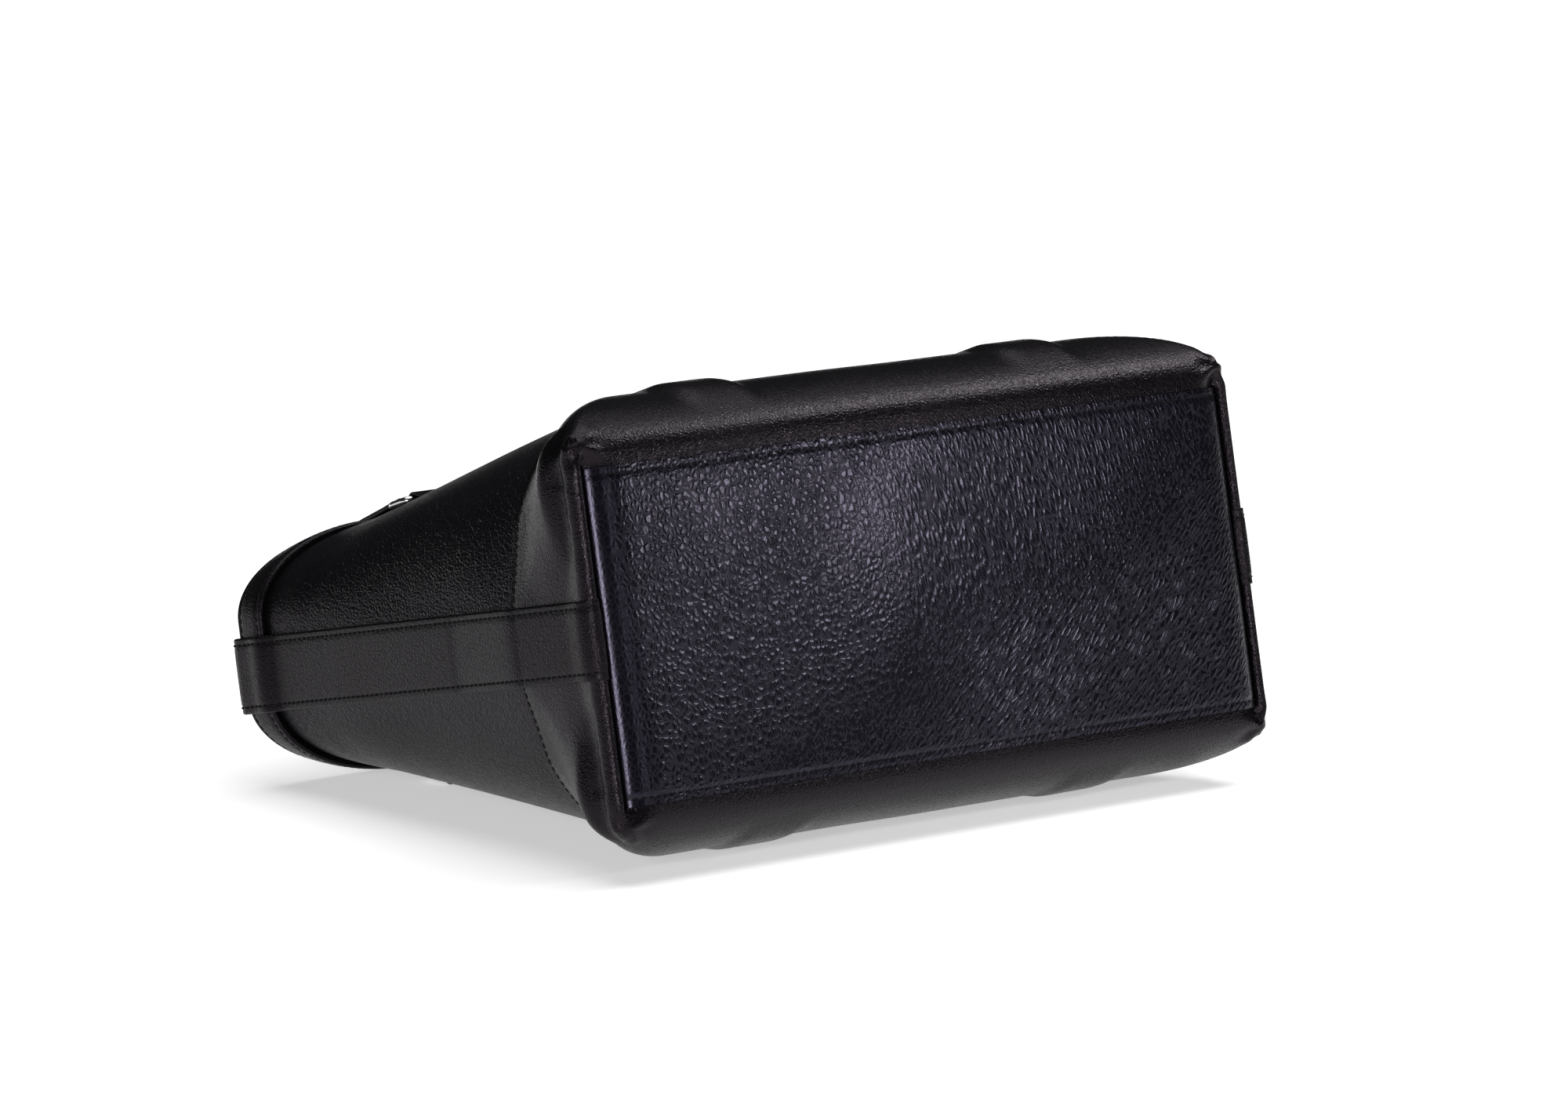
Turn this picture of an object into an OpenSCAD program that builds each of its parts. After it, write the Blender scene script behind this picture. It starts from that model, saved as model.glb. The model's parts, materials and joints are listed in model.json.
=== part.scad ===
// Doctor bag: a soft leather bag on a stiff base, lying on its back face.
// Every piece is drawn on the upright bag, x along the length, y from front (-) to back (+)
// and z up from the bottom panel. lay_down() then lays the whole bag on its back.

/* [Body] */
// Length of the bottom panel
bottom_l = 396; // [370:1:420]
// Width of the bottom panel, from front to back
bottom_w = 160; // [145:1:175]
// Height of the bag, from the bottom panel to the top of the rim
bag_h = 312; // [290:1:340]
// Height at which the sides are widest
belly_h = 50; // [42:1:58]
// Distance from the middle to the front at its widest
front_belly = 113; // [106:1:120]
// Distance from the middle to the back at its widest
back_belly = 107; // [101:1:112]
// How far each end bulges past the bottom panel
end_bulge = 6; // [3:1:9]
// Length of the mouth, without the rim band
mouth_l = 382; // [370:1:394]
// Distance from the middle to the front of the mouth
front_mouth = 63; // [58:1:68]
// Distance from the middle to the back of the mouth
back_mouth = 49; // [48:1:54]
// Radius of the bottom panel's corners
bottom_corner = 6; // [4:1:10]
// Length of the rounded corners at the belly
belly_corner_l = 75; // [68:1:78]
// Length of the rounded corners at the mouth
mouth_corner_l = 70; // [62:1:72]
// Depth of the rounded corners at the mouth
mouth_corner_d = 36; // [30:1:42]

/* [Leather and lining] */
// Thickness of the leather
leather_t = 1.8; // [1.4:0.1:2.2]
// Thickness of the lining
lining_t = 0.8; // [0.6:0.1:1.2]
// Gap between one layer and the next
ply_gap = 0.2; // [0.15:0.05:0.3]
// Height of the leather wrap around the base
wrap_h = 73; // [66:1:80]
// Depth that the body leather is tucked behind the wrap and the rim band
tuck = 12; // [8:1:16]
// Thickness of the stiff board in the base
board_t = 2.5; // [1.5:0.5:4]

/* [Rim band] */
// Height of the band around the mouth
band_h = 22; // [18:1:26]
// How far the band stands out from the body leather
band_proud = 4; // [3:0.5:4.4]
// Thickness of the lip that turns inwards over the wall
lip_t = 3; // [2:0.5:4]

/* [End straps] */
// Width of the strap up the middle of each end
end_strap_w = 38; // [30:1:46]
// Thickness of the end strap
end_strap_t = 4; // [3:0.5:5]
// Length of strap folded down inside the mouth
end_strap_tail = 34; // [30:1:44]

/* [Leg straps] */
// Distance from the middle to each handle's leg strap
leg_x = 101; // [90:1:102]
// Width of a leg strap
leg_w = 30; // [24:1:32]
// Thickness of a leg strap
leg_t = 2.8; // [2.2:0.1:3.2]
// Height of the leg strap's lower end, behind the base wrap
leg_foot = 34; // [28:1:40]
// Distance from the rim down to the ring held in the leg strap's upper end
ring_drop = 54; // [48:1:66]

/* [Rings] */
// Radius of the ring's wire
wire_r = 2; // [1.8:0.1:2.4]
// Distance between the ring's two long bars
ring_reach = 14; // [12:1:17]
// Play of the leather loops around the wire
loop_play = 0.3; // [0.2:0.05:0.5]
// Thickness of the leg strap's loop around the wire
loop_t = 1.4; // [1.3:0.1:1.8]
// Thickness of the handle's loop around the wire
tab_loop_t = 1.1; // [0.9:0.1:1.1]
// Angle of the front rings away from the front face, at rest
ring_tilt = 4; // [4:1:8]

/* [Handles] */
// Radius of the rolled handle
roll_r = 6.5; // [5.5:0.5:7]
// Radius of the cord core inside the roll
core_r = 4; // [3:0.5:4.5]
// Height of the handle's arch above the rim
handle_drop = 76; // [66:1:84]
// Radius of the arch's bends
handle_bend = 46; // [34:1:56]
// Gap from the rim to the thick part of the handle
rim_clear = 4; // [3:1:8]
// Width of the flat tab at each end of the handle
tab_w = 26; // [20:1:29]
// Thickness of the tab
tab_t = 3; // [2.4:0.2:3]
// Angle that the front handle droops over the rim, at rest
handle_droop = 1; // [0:0.2:1]

/* [Mouth frame] */
// Depth of the frame's hinge below the top of the rim
hinge_drop = 16; // [14:1:19]
// Gap from each end of the mouth to the front stay
frame_end_gap = 20; // [18:1:30]
// Distance from the hinge line to a stay's long side
frame_d = 40; // [36:0.5:42]
// Width of the steel stay
stay_w = 7; // [5:1:8]
// Thickness of the steel stay
stay_t = 2.4; // [1.8:0.2:3]
// Distance from a stay to the middle of the closed mouth
stay_gap = 5; // [4.6:0.2:5.6]
// Radius of the stay's corners
stay_corner = 28; // [18:1:30]
// Leather thickness of the sleeve around the stay
sleeve_t = 1.2; // [1:0.1:1.4]
// Radius of the hinge pins
pin_r = 2; // [1.6:0.1:2.4]
// Radius of the hinge eyes around the pins
eye_r = 4.5; // [4:0.1:5]
// Thickness of a hinge eye
eye_t = 2; // [1.6:0.1:2.4]
// Radius of the magnetic snap
snap_r = 4.6; // [3.6:0.2:4.8]

/* [Pocket] */
// Width of the inner pocket
pocket_w = 180; // [140:1:210]
// Height of the inner pocket
pocket_h = 110; // [80:1:125]
// Height of the pocket's lower edge
pocket_z = 95; // [85:1:105]

/* [Hidden] */

FRONT = -1;
BACK = 1;
LEFT = -1;
RIGHT = 1;
fit_gap = 0.3;            // clearance between pieces that only rest on each other
pin_play = 0.05;          // running clearance of the hinge eyes on their pins
arc_steps = 9;            // steps around each rounded corner of the body
wall_steps = 8;           // steps up the wall
base_steps = 6;           // steps up the rounded base
front_curve = 1.12;       // above 1 the front face bows outwards
back_curve = 1;           // the back face lies flat on the floor
ridge_run = 5;            // width of the slope beside each ridge in the wrap
ridge_foot = 8;           // height at which the ridges begin
smooth = 48;              // facets of round solids

// Layers of the wall, as offsets from the outside of the base wrap.
panel_out = -leather_t - ply_gap;
panel_in = panel_out - leather_t;
lining_out = panel_in - ply_gap;
lining_in = lining_out - lining_t;
band_out = panel_out + band_proud;
band_in = panel_out + ply_gap;
lip_in = lining_in - 0.4;
strap_in = panel_out + ply_gap;
strap_out = strap_in + leg_t;
ridge = strap_out + ply_gap + leather_t;

ring_z = bag_h - ring_drop;
loop_r = wire_r + loop_play + loop_t;        // outside of a leather loop around a bar
bar_off = strap_in + loop_r;                 // the lower bar, outside the wall
tab_loop_r = wire_r + loop_play + tab_loop_t; // outside of the handle's loop around a bar
rim_reach = bag_h - ring_z - ring_reach;     // from the ring's upper bar to the rim
handle_reach = rim_reach + handle_drop;
roll_start = rim_reach + rim_clear + roll_r;
hinge_z = bag_h - hinge_drop;
frame_l = mouth_l - 2 * frame_end_gap;       // front stay, from end to end
hem_z = leather_t + ply_gap;                 // where the wrap's hem lies on the bottom panel
hem_w = 14;                                  // width of that hem
floor_z = hem_z + leather_t + fit_gap;       // where the base board lies
foot_angle = acos(1 - hem_z / belly_h);      // where the round of the base begins

function belly(side) = side == FRONT ? front_belly : back_belly;
function mouth(side) = side == FRONT ? front_mouth : back_mouth;
function curve(side) = side == FRONT ? front_curve : back_curve;
function mix(a, b, t) = a + (b - a) * t;
function ease(t) = let (u = min(max(t, 0), 1)) u * u * (3 - 2 * u);
function bulge(z) = sqrt(1 - pow(1 - z / belly_h, 2));
function taper(z, power) = pow((z - belly_h) / (bag_h - belly_h), power);
function reverse(list) = [for (i = [len(list) - 1:-1:0]) list[i]];
function steps(a, b, n) = [for (i = [0:n]) mix(a, b, i / n)];

// Shape of the bag's outside at height z.
function half_depth(side, z) =
    z < belly_h ? mix(bottom_w / 2, belly(side), bulge(z))
                : mix(belly(side), mouth(side), taper(z, curve(side)));
function half_length(z) =
    z < belly_h ? mix(bottom_l, bottom_l + 2 * end_bulge, bulge(z)) / 2
                : mix(bottom_l + 2 * end_bulge, mouth_l, taper(z, front_curve)) / 2;
function corner_l(z) =
    z < wrap_h ? mix(bottom_corner, belly_corner_l, ease(z / wrap_h))
               : mix(belly_corner_l, mouth_corner_l, (z - wrap_h) / (bag_h - wrap_h));
function corner_d(side, z) =
    z < wrap_h ? mix(bottom_corner, half_depth(side, wrap_h) - bottom_corner, ease(z / wrap_h))
               : mix(half_depth(side, wrap_h) - bottom_corner, mouth_corner_d,
                     (z - wrap_h) / (bag_h - wrap_h));

// The wrap rises in a soft ridge over the foot of each leg strap.
function over_leg(x) =
    let (past = abs(abs(x) - leg_x) - leg_w / 2) past <= 0.01 ? 1 : 0;
function ridge_at(x, z) = ridge * over_leg(x) * ease((z - ridge_foot) / (leg_foot - ridge_foot - 4));

// Plan outline of one side at height z, from the left end round to the right end.
function outline(side, z, off, flat_x, ridged) =
    let (a = half_length(z) + off, b = half_depth(side, z) + off,
         cl = max(corner_l(z) + off, 1), cd = max(corner_d(side, z) + off, 1),
         turn = [for (t = steps(0, 90, arc_steps)) [a - cl + cl * cos(t), b - cd + cd * sin(t)]],
         middle = [for (x = flat_x) [x, b + (ridged ? ridge_at(x, z) : 0)]])
    [for (p = concat([[-a, fit_gap / 2]], [for (q = turn) [-q[0], q[1]]], middle,
                     reverse(turn), [[a, fit_gap / 2]]))
        [p[0], side * p[1], z]];

// Wall swept around one side of the bag. profile lists [offset, height] around its section.
module wall(side, profile, flat_x = [0], ridged = false) {
    rows = [for (p = profile) outline(side, p[1], p[0], flat_x, ridged)];
    m = len(profile);
    n = len(rows[0]);
    points = [for (k = [0:n - 1]) for (row = rows) row[k]];
    // The diagonals rise the same way on both faces, so that neighbouring layers stay parallel.
    quads = [for (k = [0:n - 2]) for (j = [0:m - 1])
        let (i = (j + 1) % m, q = [k * m + j, k * m + i, (k + 1) * m + i, (k + 1) * m + j])
        profile[i][1] > profile[j][1] ? q : [q[1], q[2], q[3], q[0]]];
    sides = [for (q = quads) each [[q[0], q[1], q[2]], [q[0], q[2], q[3]]]];
    first = [for (j = [m - 1:-1:0]) j];
    last = [for (j = [0:m - 1]) (n - 1) * m + j];
    faces = concat(sides, [first, last]);
    polyhedron(points, side == BACK ? faces : [for (f = faces) reverse(f)], convexity = 8);
}

// Heights that all layers of the wall share, so that their facets stay parallel.
wall_top = bag_h - lip_t - fit_gap;
base_levels = [for (t = steps(foot_angle, 90, base_steps)) belly_h * (1 - cos(t))];
wall_levels = concat([wrap_h - tuck, wrap_h],
                     [for (z = steps(wrap_h, wall_top, wall_steps)) if (z > wrap_h) z]);
levels = concat(base_levels, wall_levels);

// Depth of the faceted wall, straight from one level to the next.
function wall_y(side, z) = lookup(z, [for (level = levels) [level, half_depth(side, level)]]);

// The levels between two heights, with the two heights themselves.
function levels_from(z0, z1) = concat([z0], [for (z = levels) if (z > z0 && z < z1) z], [z1]);

// Section of a layer through a list of heights, between two offsets.
function sheet(zs, out, in) =
    concat([for (z = zs) [out, z]], [for (z = reverse(zs)) [in, z]]);

wrap_x = [-leg_x - leg_w / 2 - ridge_run, -leg_x - leg_w / 2, -leg_x + leg_w / 2,
          -leg_x + leg_w / 2 + ridge_run, leg_x - leg_w / 2 - ridge_run, leg_x - leg_w / 2,
          leg_x + leg_w / 2, leg_x + leg_w / 2 + ridge_run];

// The bag lies on its back: the ridges of the back wrap and the back leg loops touch the floor.
rest_y = back_belly + ridge;
front_bar = [-wall_y(FRONT, ring_z) - bar_off, ring_z];
back_bar = [wall_y(BACK, ring_z) + bar_off, ring_z];
rest_span = norm([rest_y - back_bar[0], ring_z - belly_h]);
lean = acos(loop_r / rest_span) - atan2(ring_z - belly_h, rest_y - back_bar[0]);
lift = rest_y * cos(lean) + belly_h * sin(lean);
near_y = -bottom_w / 2 * sin(lean);

// Both handles point past the rim. The front one rests on the rim, the back one on the floor.
face_slope = atan((wall_y(FRONT, ring_z) - half_depth(FRONT, bag_h)) / (bag_h - ring_z));

// Direction [y, z] up the front face, turned out from it by an angle, and along the floor.
function front_dir(turn) = [sin(face_slope - turn), cos(face_slope - turn)];
floor_dir = [-sin(lean), cos(lean)];
front_top_bar = front_bar + ring_reach * front_dir(ring_tilt);
back_top_bar = back_bar + ring_reach * floor_dir;
roll_rise = roll_r - tab_loop_r;             // the roll's outside is in line with the tabs' outside
front_tip = front_top_bar + handle_reach * front_dir(-handle_droop)
            + roll_rise * front_dir(-90 - handle_droop);
back_tip = back_top_bar + handle_reach * floor_dir;
far_y = max(front_tip * floor_dir, back_tip * floor_dir) + roll_r;

module lay_down() {
    translate([0, -(near_y + far_y) / 2, lift]) rotate([-(90 + lean), 0, 0]) children();
}

// ---- Base ----

module base_plate(l, w, r, z, t) {
    translate([0, 0, z]) linear_extrude(t) {
        square([l - 2 * r, w], center = true);
        square([l, w - 2 * r], center = true);
        for (x = [-1, 1], y = [-1, 1])
            translate([x * (l / 2 - r), y * (w / 2 - r)]) circle(r, $fn = smooth);
    }
}

module bottom_panel() {
    color("#1b1b20") lay_down() base_plate(bottom_l, bottom_w, bottom_corner, 0, leather_t);
}

// The board and the floor lining lie on the wrap's hem, clear of the lining at both ends.
board_l = bottom_l + 2 * (lining_in - fit_gap);

module base_board() {
    color("#b59b6e") lay_down() base_plate(board_l, bottom_w, bottom_corner, floor_z, board_t);
}

module floor_lining() {
    color("#4a4038") lay_down()
        base_plate(board_l, bottom_w, bottom_corner, floor_z + board_t + ply_gap, lining_t);
}

// Leather around the base: a hem turned under the bottom panel's edge, then the rounded side.
module base_wrap(side) {
    side_zs = concat(base_levels, [wrap_h - tuck, wrap_h]);
    inner_zs = concat([hem_z + leather_t], [for (i = [2:len(side_zs) - 1]) side_zs[i]]);
    profile = concat([[-hem_w, hem_z]], [for (z = side_zs) [0, z]],
                     [for (z = reverse(inner_zs)) [-leather_t, z]], [[-hem_w, hem_z + leather_t]]);
    color("#17161a") lay_down() wall(side, profile, wrap_x, ridged = true);
}

// ---- Walls ----

module body_panel(side) {
    color("#1d1b1d") lay_down() wall(side, sheet(wall_levels, panel_out, panel_in));
}

module lining(side) {
    color("#4a4038") lay_down()
        wall(side, sheet(levels_from(floor_z, wall_top), lining_out, lining_in));
}

// The band covers the top of the wall: a thick skirt outside and a lip turned over the edge.
module rim_band(side) {
    foot = bag_h - band_h;
    color("#151417") lay_down() wall(side, [
        [band_out, foot], [band_out, bag_h - 1.5], [band_out - 1.5, bag_h],
        [lip_in, bag_h], [lip_in, bag_h - lip_t], [band_in, bag_h - lip_t], [band_in, foot]
    ]);
}

// Strap from the bottom seam up the end, over the rim band and down inside.
module end_strap(side) {
    band_z = bag_h - band_h;
    step = 6;
    outer = concat(
        [for (t = steps(0, 1, 5)) let (z = mix(floor_z, belly_h, t * t)) [half_length(z) + fit_gap, z]],
        [[half_length(wrap_h) + fit_gap, wrap_h + 1]],
        [for (z = steps(wrap_h + step, band_z - step, 4)) [half_length(z) + panel_out + fit_gap, z]],
        [[half_length(band_z) + band_out + fit_gap, band_z - 1],
         [half_length(bag_h) + band_out + fit_gap, bag_h + fit_gap],
         [half_length(bag_h) + lip_in - fit_gap, bag_h + fit_gap]]);
    tail_z = bag_h - end_strap_tail;
    inner_x = half_length(bag_h) + lip_in - fit_gap;
    back_line = concat(
        [[inner_x - end_strap_t, tail_z], [inner_x - end_strap_t, bag_h + fit_gap + end_strap_t / 2],
         [inner_x - end_strap_t / 2, bag_h + fit_gap + end_strap_t],
         [half_length(bag_h) + band_out + fit_gap + end_strap_t / 2, bag_h + fit_gap + end_strap_t],
         [half_length(bag_h) + band_out + fit_gap + end_strap_t, bag_h + fit_gap + end_strap_t / 2]],
        [for (p = reverse([for (i = [0:len(outer) - 3]) outer[i]])) [p[0] + end_strap_t, p[1]]]);
    color("#141316") lay_down() difference() {
        rotate([90, 0, 0]) linear_extrude(end_strap_w, center = true)
            scale_side(side) polygon(concat(outer, [[inner_x, tail_z]], back_line));
        for (y = [-1, 1]) rivet_place(side, y)
            cylinder(h = 4 * end_strap_t, r = rivet_r + pin_play, center = true, $fn = smooth);
    }
}

module scale_side(side) {
    if (side == LEFT) mirror([1, 0]) children();
    else children();
}

// ---- Leg straps, rings and handles ----

module leg_strap(side, x) {
    zs = levels_from(leg_foot, ring_z - wire_r - loop_play - fit_gap / 2);
    bar = [wall_y(side, ring_z) + bar_off, ring_z, 0];
    color("#161518") lay_down() translate([x, 0, 0]) rotate([90, 0, 90]) mirror_front(side)
        difference() {
            union() {
                linear_extrude(leg_w, center = true)
                    polygon(concat([for (z = zs) [wall_y(side, z) + strap_in, z]],
                                   [for (z = reverse(zs)) [wall_y(side, z) + strap_out, z]]));
                translate(bar) cylinder(h = leg_w, r = loop_r, center = true, $fn = smooth);
            }
            translate(bar)
                cylinder(h = leg_w + 2, r = wire_r + loop_play, center = true, $fn = smooth);
        }
}

module mirror_front(side) {
    if (side == FRONT) mirror([1, 0, 0]) children();
    else children();
}

// Frame of a ring or handle on a bar at [y, z]: local x is the bag's x, local y runs away from
// the bar and local z points to the inside of the bag.
module on_front(bar, turn) {
    translate([0, bar[0], bar[1]]) rotate([90 - face_slope + turn, 0, 0])
        mirror([0, 0, 1]) children();
}

module on_back(bar) {
    translate([0, bar[0], bar[1]]) rotate([90 + lean, 0, 0]) children();
}

ring_w = leg_w + 2 * wire_r + 2;     // centre distance of the ring's short sides
ring_corner = 2.6;

module ring_shape(x) {
    straight_x = ring_w / 2 - ring_corner;
    color("#c9c9cd") translate([x, 0, 0]) {
        for (y = [0, ring_reach]) translate([0, y, 0]) rotate([0, 90, 0])
            cylinder(h = 2 * straight_x, r = wire_r, center = true, $fn = smooth);
        for (s = [-1, 1]) {
            translate([s * ring_w / 2, ring_reach / 2, 0]) rotate([90, 0, 0])
                cylinder(h = ring_reach - 2 * ring_corner, r = wire_r, center = true, $fn = smooth);
            for (e = [0, 1]) translate([s * straight_x, mix(ring_corner, ring_reach - ring_corner, e), 0])
                rotate([0, 0, s > 0 ? (e ? 0 : 270) : (e ? 90 : 180)])
                    rotate_extrude(angle = 90, $fn = smooth) translate([ring_corner, 0])
                        circle(wire_r, $fn = smooth);
        }
    }
}

module front_ring(x) {
    lay_down() on_front(front_bar, ring_tilt) ring_shape(x);
}

module back_ring(x) {
    lay_down() on_back(back_bar) ring_shape(x);
}

// The roll's arch, from one tab over to the other, as a bar of radius r.
module roll(r, start) {
    leg_end = handle_reach - handle_bend;
    translate([0, 0, roll_rise]) {
        for (s = [-1, 1]) {
            translate([s * leg_x, start, 0]) rotate([-90, 0, 0])
                cylinder(h = leg_end - start, r = r, $fn = smooth);
            translate([s * (leg_x - handle_bend), leg_end, 0]) rotate([0, 0, s > 0 ? 0 : 90])
                rotate_extrude(angle = 90, $fn = smooth) translate([handle_bend, 0])
                    circle(r, $fn = smooth);
        }
        translate([0, handle_reach, 0]) rotate([0, 90, 0])
            cylinder(h = 2 * (leg_x - handle_bend), r = r, center = true, $fn = smooth);
    }
}

module handle_leather() {
    color("#161518") difference() {
        union() {
            roll(roll_r, roll_start);
            for (s = [-1, 1]) translate([s * leg_x, 0, 0]) {
                translate([0, roll_start, roll_rise]) sphere(roll_r, $fn = smooth);
                rotate([0, 90, 0]) cylinder(h = tab_w, r = tab_loop_r, center = true, $fn = smooth);
                translate([-tab_w / 2, 0, -tab_loop_r]) cube([tab_w, roll_start, tab_t]);
            }
        }
        for (s = [-1, 1]) translate([s * leg_x, 0, 0]) rotate([0, 90, 0])
            cylinder(h = tab_w + 2, r = wire_r + loop_play, center = true, $fn = smooth);
        roll(core_r + ply_gap, roll_start);
    }
}

module handle_core() {
    color("#d8cbb0") roll(core_r, roll_start + ply_gap);
}

module front_handle_leather() {
    lay_down() on_front(front_top_bar, -handle_droop) handle_leather();
}

module front_handle_core() {
    lay_down() on_front(front_top_bar, -handle_droop) handle_core();
}

module back_handle_leather() {
    lay_down() on_back(back_top_bar) handle_leather();
}

module back_handle_core() {
    lay_down() on_back(back_top_bar) handle_core();
}

// ---- Mouth frame ----

// Outline of a half loop: legs at both ends, rounded corners and a long side at depth d.
function half_loop(half_l, d, r, foot) =
    concat([[-half_l, foot]], [for (t = steps(180, 90, 6)) [-half_l + r + r * cos(t), d - r + r * sin(t)]],
           [for (t = steps(90, 0, 6)) [half_l - r + r * cos(t), d - r + r * sin(t)]], [[half_l, foot]]);

module loop_bar(half_l, d, w, grow, foot) {
    difference() {
        polygon(half_loop(half_l + grow, d + grow, stay_corner + grow, foot));
        translate([0, -1]) polygon(half_loop(half_l - w - grow, d - w - grow + 1,
            stay_corner - w - grow, foot - 1));
    }
}

stay_foot = 8;                               // where the stay's legs begin, from the hinge line
function stay_half(side) = frame_l / 2 + (side == BACK ? eye_t + 2 * fit_gap : 0);

module on_hinge_line(side) {
    translate([0, 0, hinge_z]) mirror([0, side == FRONT ? 1 : 0, 0]) children();
}

module frame_stay(side) {
    half_l = stay_half(side);
    color("#8d9096") lay_down() on_hinge_line(side) {
        translate([0, 0, -stay_gap - stay_t]) linear_extrude(stay_t)
            loop_bar(half_l, frame_d, stay_w, 0, stay_foot);
        for (s = [-1, 1]) translate([s * (half_l - eye_t / 2), 0, 0]) rotate([90, 0, 90])
            linear_extrude(eye_t, center = true) difference() {
                union() {
                    circle(eye_r, $fn = smooth);
                    polygon([[0, -eye_r], [0, 0], [eye_r, 0], [stay_foot + 4, -stay_gap],
                             [stay_foot + 4, -stay_gap - stay_t], [stay_foot - 2, -stay_gap - stay_t]]);
                }
                circle(pin_r + pin_play, $fn = smooth);
            }
    }
}

module frame_sleeve(side) {
    half_l = stay_half(side);
    sleeve_foot = stay_foot + 5;
    color("#19181b") lay_down() on_hinge_line(side) difference() {
        translate([0, 0, -stay_gap - stay_t - ply_gap - sleeve_t])
            linear_extrude(stay_t + 2 * (ply_gap + sleeve_t))
                loop_bar(half_l, frame_d, stay_w, ply_gap + sleeve_t, sleeve_foot);
        translate([0, 0, -stay_gap - stay_t - ply_gap]) linear_extrude(stay_t + 2 * ply_gap)
            loop_bar(half_l, frame_d, stay_w, ply_gap, sleeve_foot - 2);
    }
}

// Half of a magnetic snap, sewn to the middle of the sleeve; the halves meet in the closed mouth.
snap_flange = 0.8;

module snap(side) {
    seat_z = -stay_gap + ply_gap + sleeve_t + ply_gap / 2;
    color("#b9bbc0") lay_down() on_hinge_line(side)
        translate([0, frame_d - stay_w / 2, seat_z]) {
            cylinder(h = -seat_z - fit_gap, r = snap_r - snap_flange, $fn = smooth);
            cylinder(h = snap_flange, r = snap_r, $fn = smooth);
        }
}

// Bracket on the inner tail of the end strap, with the hinge pin and two rivets.
bracket_t = 2;
bracket_w = 26;
bracket_h = 16;
rivet_r = 1.5;
rivet_y = 8;
tail_x = half_length(bag_h) + lip_in - fit_gap - end_strap_t;   // inner face of the strap's tail
bracket_x = tail_x - ply_gap - bracket_t;
eye_x = frame_l / 2 - eye_t;                                    // inner face of the front eye

module along_x(x0, x1, r) {
    translate([x0, 0, 0]) rotate([0, 90, 0]) cylinder(h = x1 - x0, r = r, $fn = smooth);
}

module at_hinge(side) {
    translate([0, 0, hinge_z]) mirror([side == LEFT ? 1 : 0, 0, 0]) children();
}

module rivet_place(side, y) {
    at_hinge(side) translate([tail_x, y * rivet_y, 0]) rotate([0, 90, 0]) children();
}

module frame_bracket(side) {
    color("#8d9096") lay_down() at_hinge(side) difference() {
        translate([bracket_x, -bracket_w / 2, -bracket_h / 2]) cube([bracket_t, bracket_w, bracket_h]);
        along_x(bracket_x - 1, bracket_x + bracket_t + 1, pin_r);
        for (y = [-rivet_y, rivet_y]) translate([0, y, 0])
            along_x(bracket_x - 1, bracket_x + bracket_t + 1, rivet_r + pin_play);
    }
}

module hinge_pin(side) {
    head_t = 1.5;
    back_eye_end = stay_half(BACK);
    color("#c2c4c8") lay_down() at_hinge(side) {
        along_x(eye_x - fit_gap - head_t, eye_x - fit_gap, eye_r - 1);
        along_x(eye_x - fit_gap - head_t, bracket_x + bracket_t, pin_r);
        along_x(back_eye_end + fit_gap, bracket_x, eye_r - 1);
    }
}

module bracket_rivets() {
    head_t = 1;
    color("#c2c4c8") lay_down() for (side = [LEFT, RIGHT], y = [-1, 1])
        at_hinge(side) translate([0, y * rivet_y, 0]) {
            along_x(bracket_x - ply_gap / 2 - head_t, tail_x + end_strap_t / 2, rivet_r);
            along_x(bracket_x - ply_gap / 2 - head_t, bracket_x - ply_gap / 2, 2 * rivet_r);
        }
}

// ---- Pocket ----

pocket_hem = 12;

module inner_pocket() {
    top_z = pocket_z + pocket_h;
    near = lining_in - fit_gap;
    far = near - lining_t;
    color("#5a4d41") lay_down() rotate([90, 0, 90]) linear_extrude(pocket_w, center = true)
        polygon([for (p = [[near, pocket_z], [near, top_z], [far - lining_t, top_z],
                           [far - lining_t, top_z - pocket_hem], [far, top_z - pocket_hem],
                           [far, pocket_z]])
            [half_depth(BACK, p[1]) + p[0], p[1]]]);
}

bottom_panel();
base_board();
floor_lining();
base_wrap(FRONT);  // front_base_wrap
base_wrap(BACK);  // back_base_wrap
body_panel(FRONT);  // front_body_panel
body_panel(BACK);  // back_body_panel
lining(FRONT);  // front_lining
lining(BACK);  // back_lining
rim_band(FRONT);  // front_rim_band
rim_band(BACK);  // back_rim_band
end_strap(LEFT);  // left_end_strap
end_strap(RIGHT);  // right_end_strap
leg_strap(FRONT, -leg_x);  // front_left_leg_strap
leg_strap(FRONT, leg_x);  // front_right_leg_strap
leg_strap(BACK, -leg_x);  // back_left_leg_strap
leg_strap(BACK, leg_x);  // back_right_leg_strap
inner_pocket();
frame_bracket(LEFT);  // left_frame_bracket
frame_bracket(RIGHT);  // right_frame_bracket
bracket_rivets();
hinge_pin(LEFT);  // left_hinge_pin
hinge_pin(RIGHT);  // right_hinge_pin
front_ring(-leg_x);  // front_left_ring
front_ring(leg_x);  // front_right_ring
back_ring(-leg_x);  // back_left_ring
back_ring(leg_x);  // back_right_ring
front_handle_leather();
front_handle_core();
back_handle_leather();
back_handle_core();
frame_stay(FRONT);  // front_frame_stay
frame_stay(BACK);  // back_frame_stay
frame_sleeve(FRONT);  // front_frame_sleeve
frame_sleeve(BACK);  // back_frame_sleeve
snap(FRONT);  // front_snap
snap(BACK);  // back_snap
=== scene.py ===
"""Looks of the doctor bag: a soft leather bag on a stiff base, lying on its back face.

Every piece is shaped on the upright bag in millimetres, x along the length, y from front (-) to
back (+) and z up from the bottom panel, and Lie.place() lays it down in the row's frame.
"""

import json
import logging
import math
from dataclasses import dataclass, field
from enum import Enum
from typing import Callable, Sequence

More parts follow.
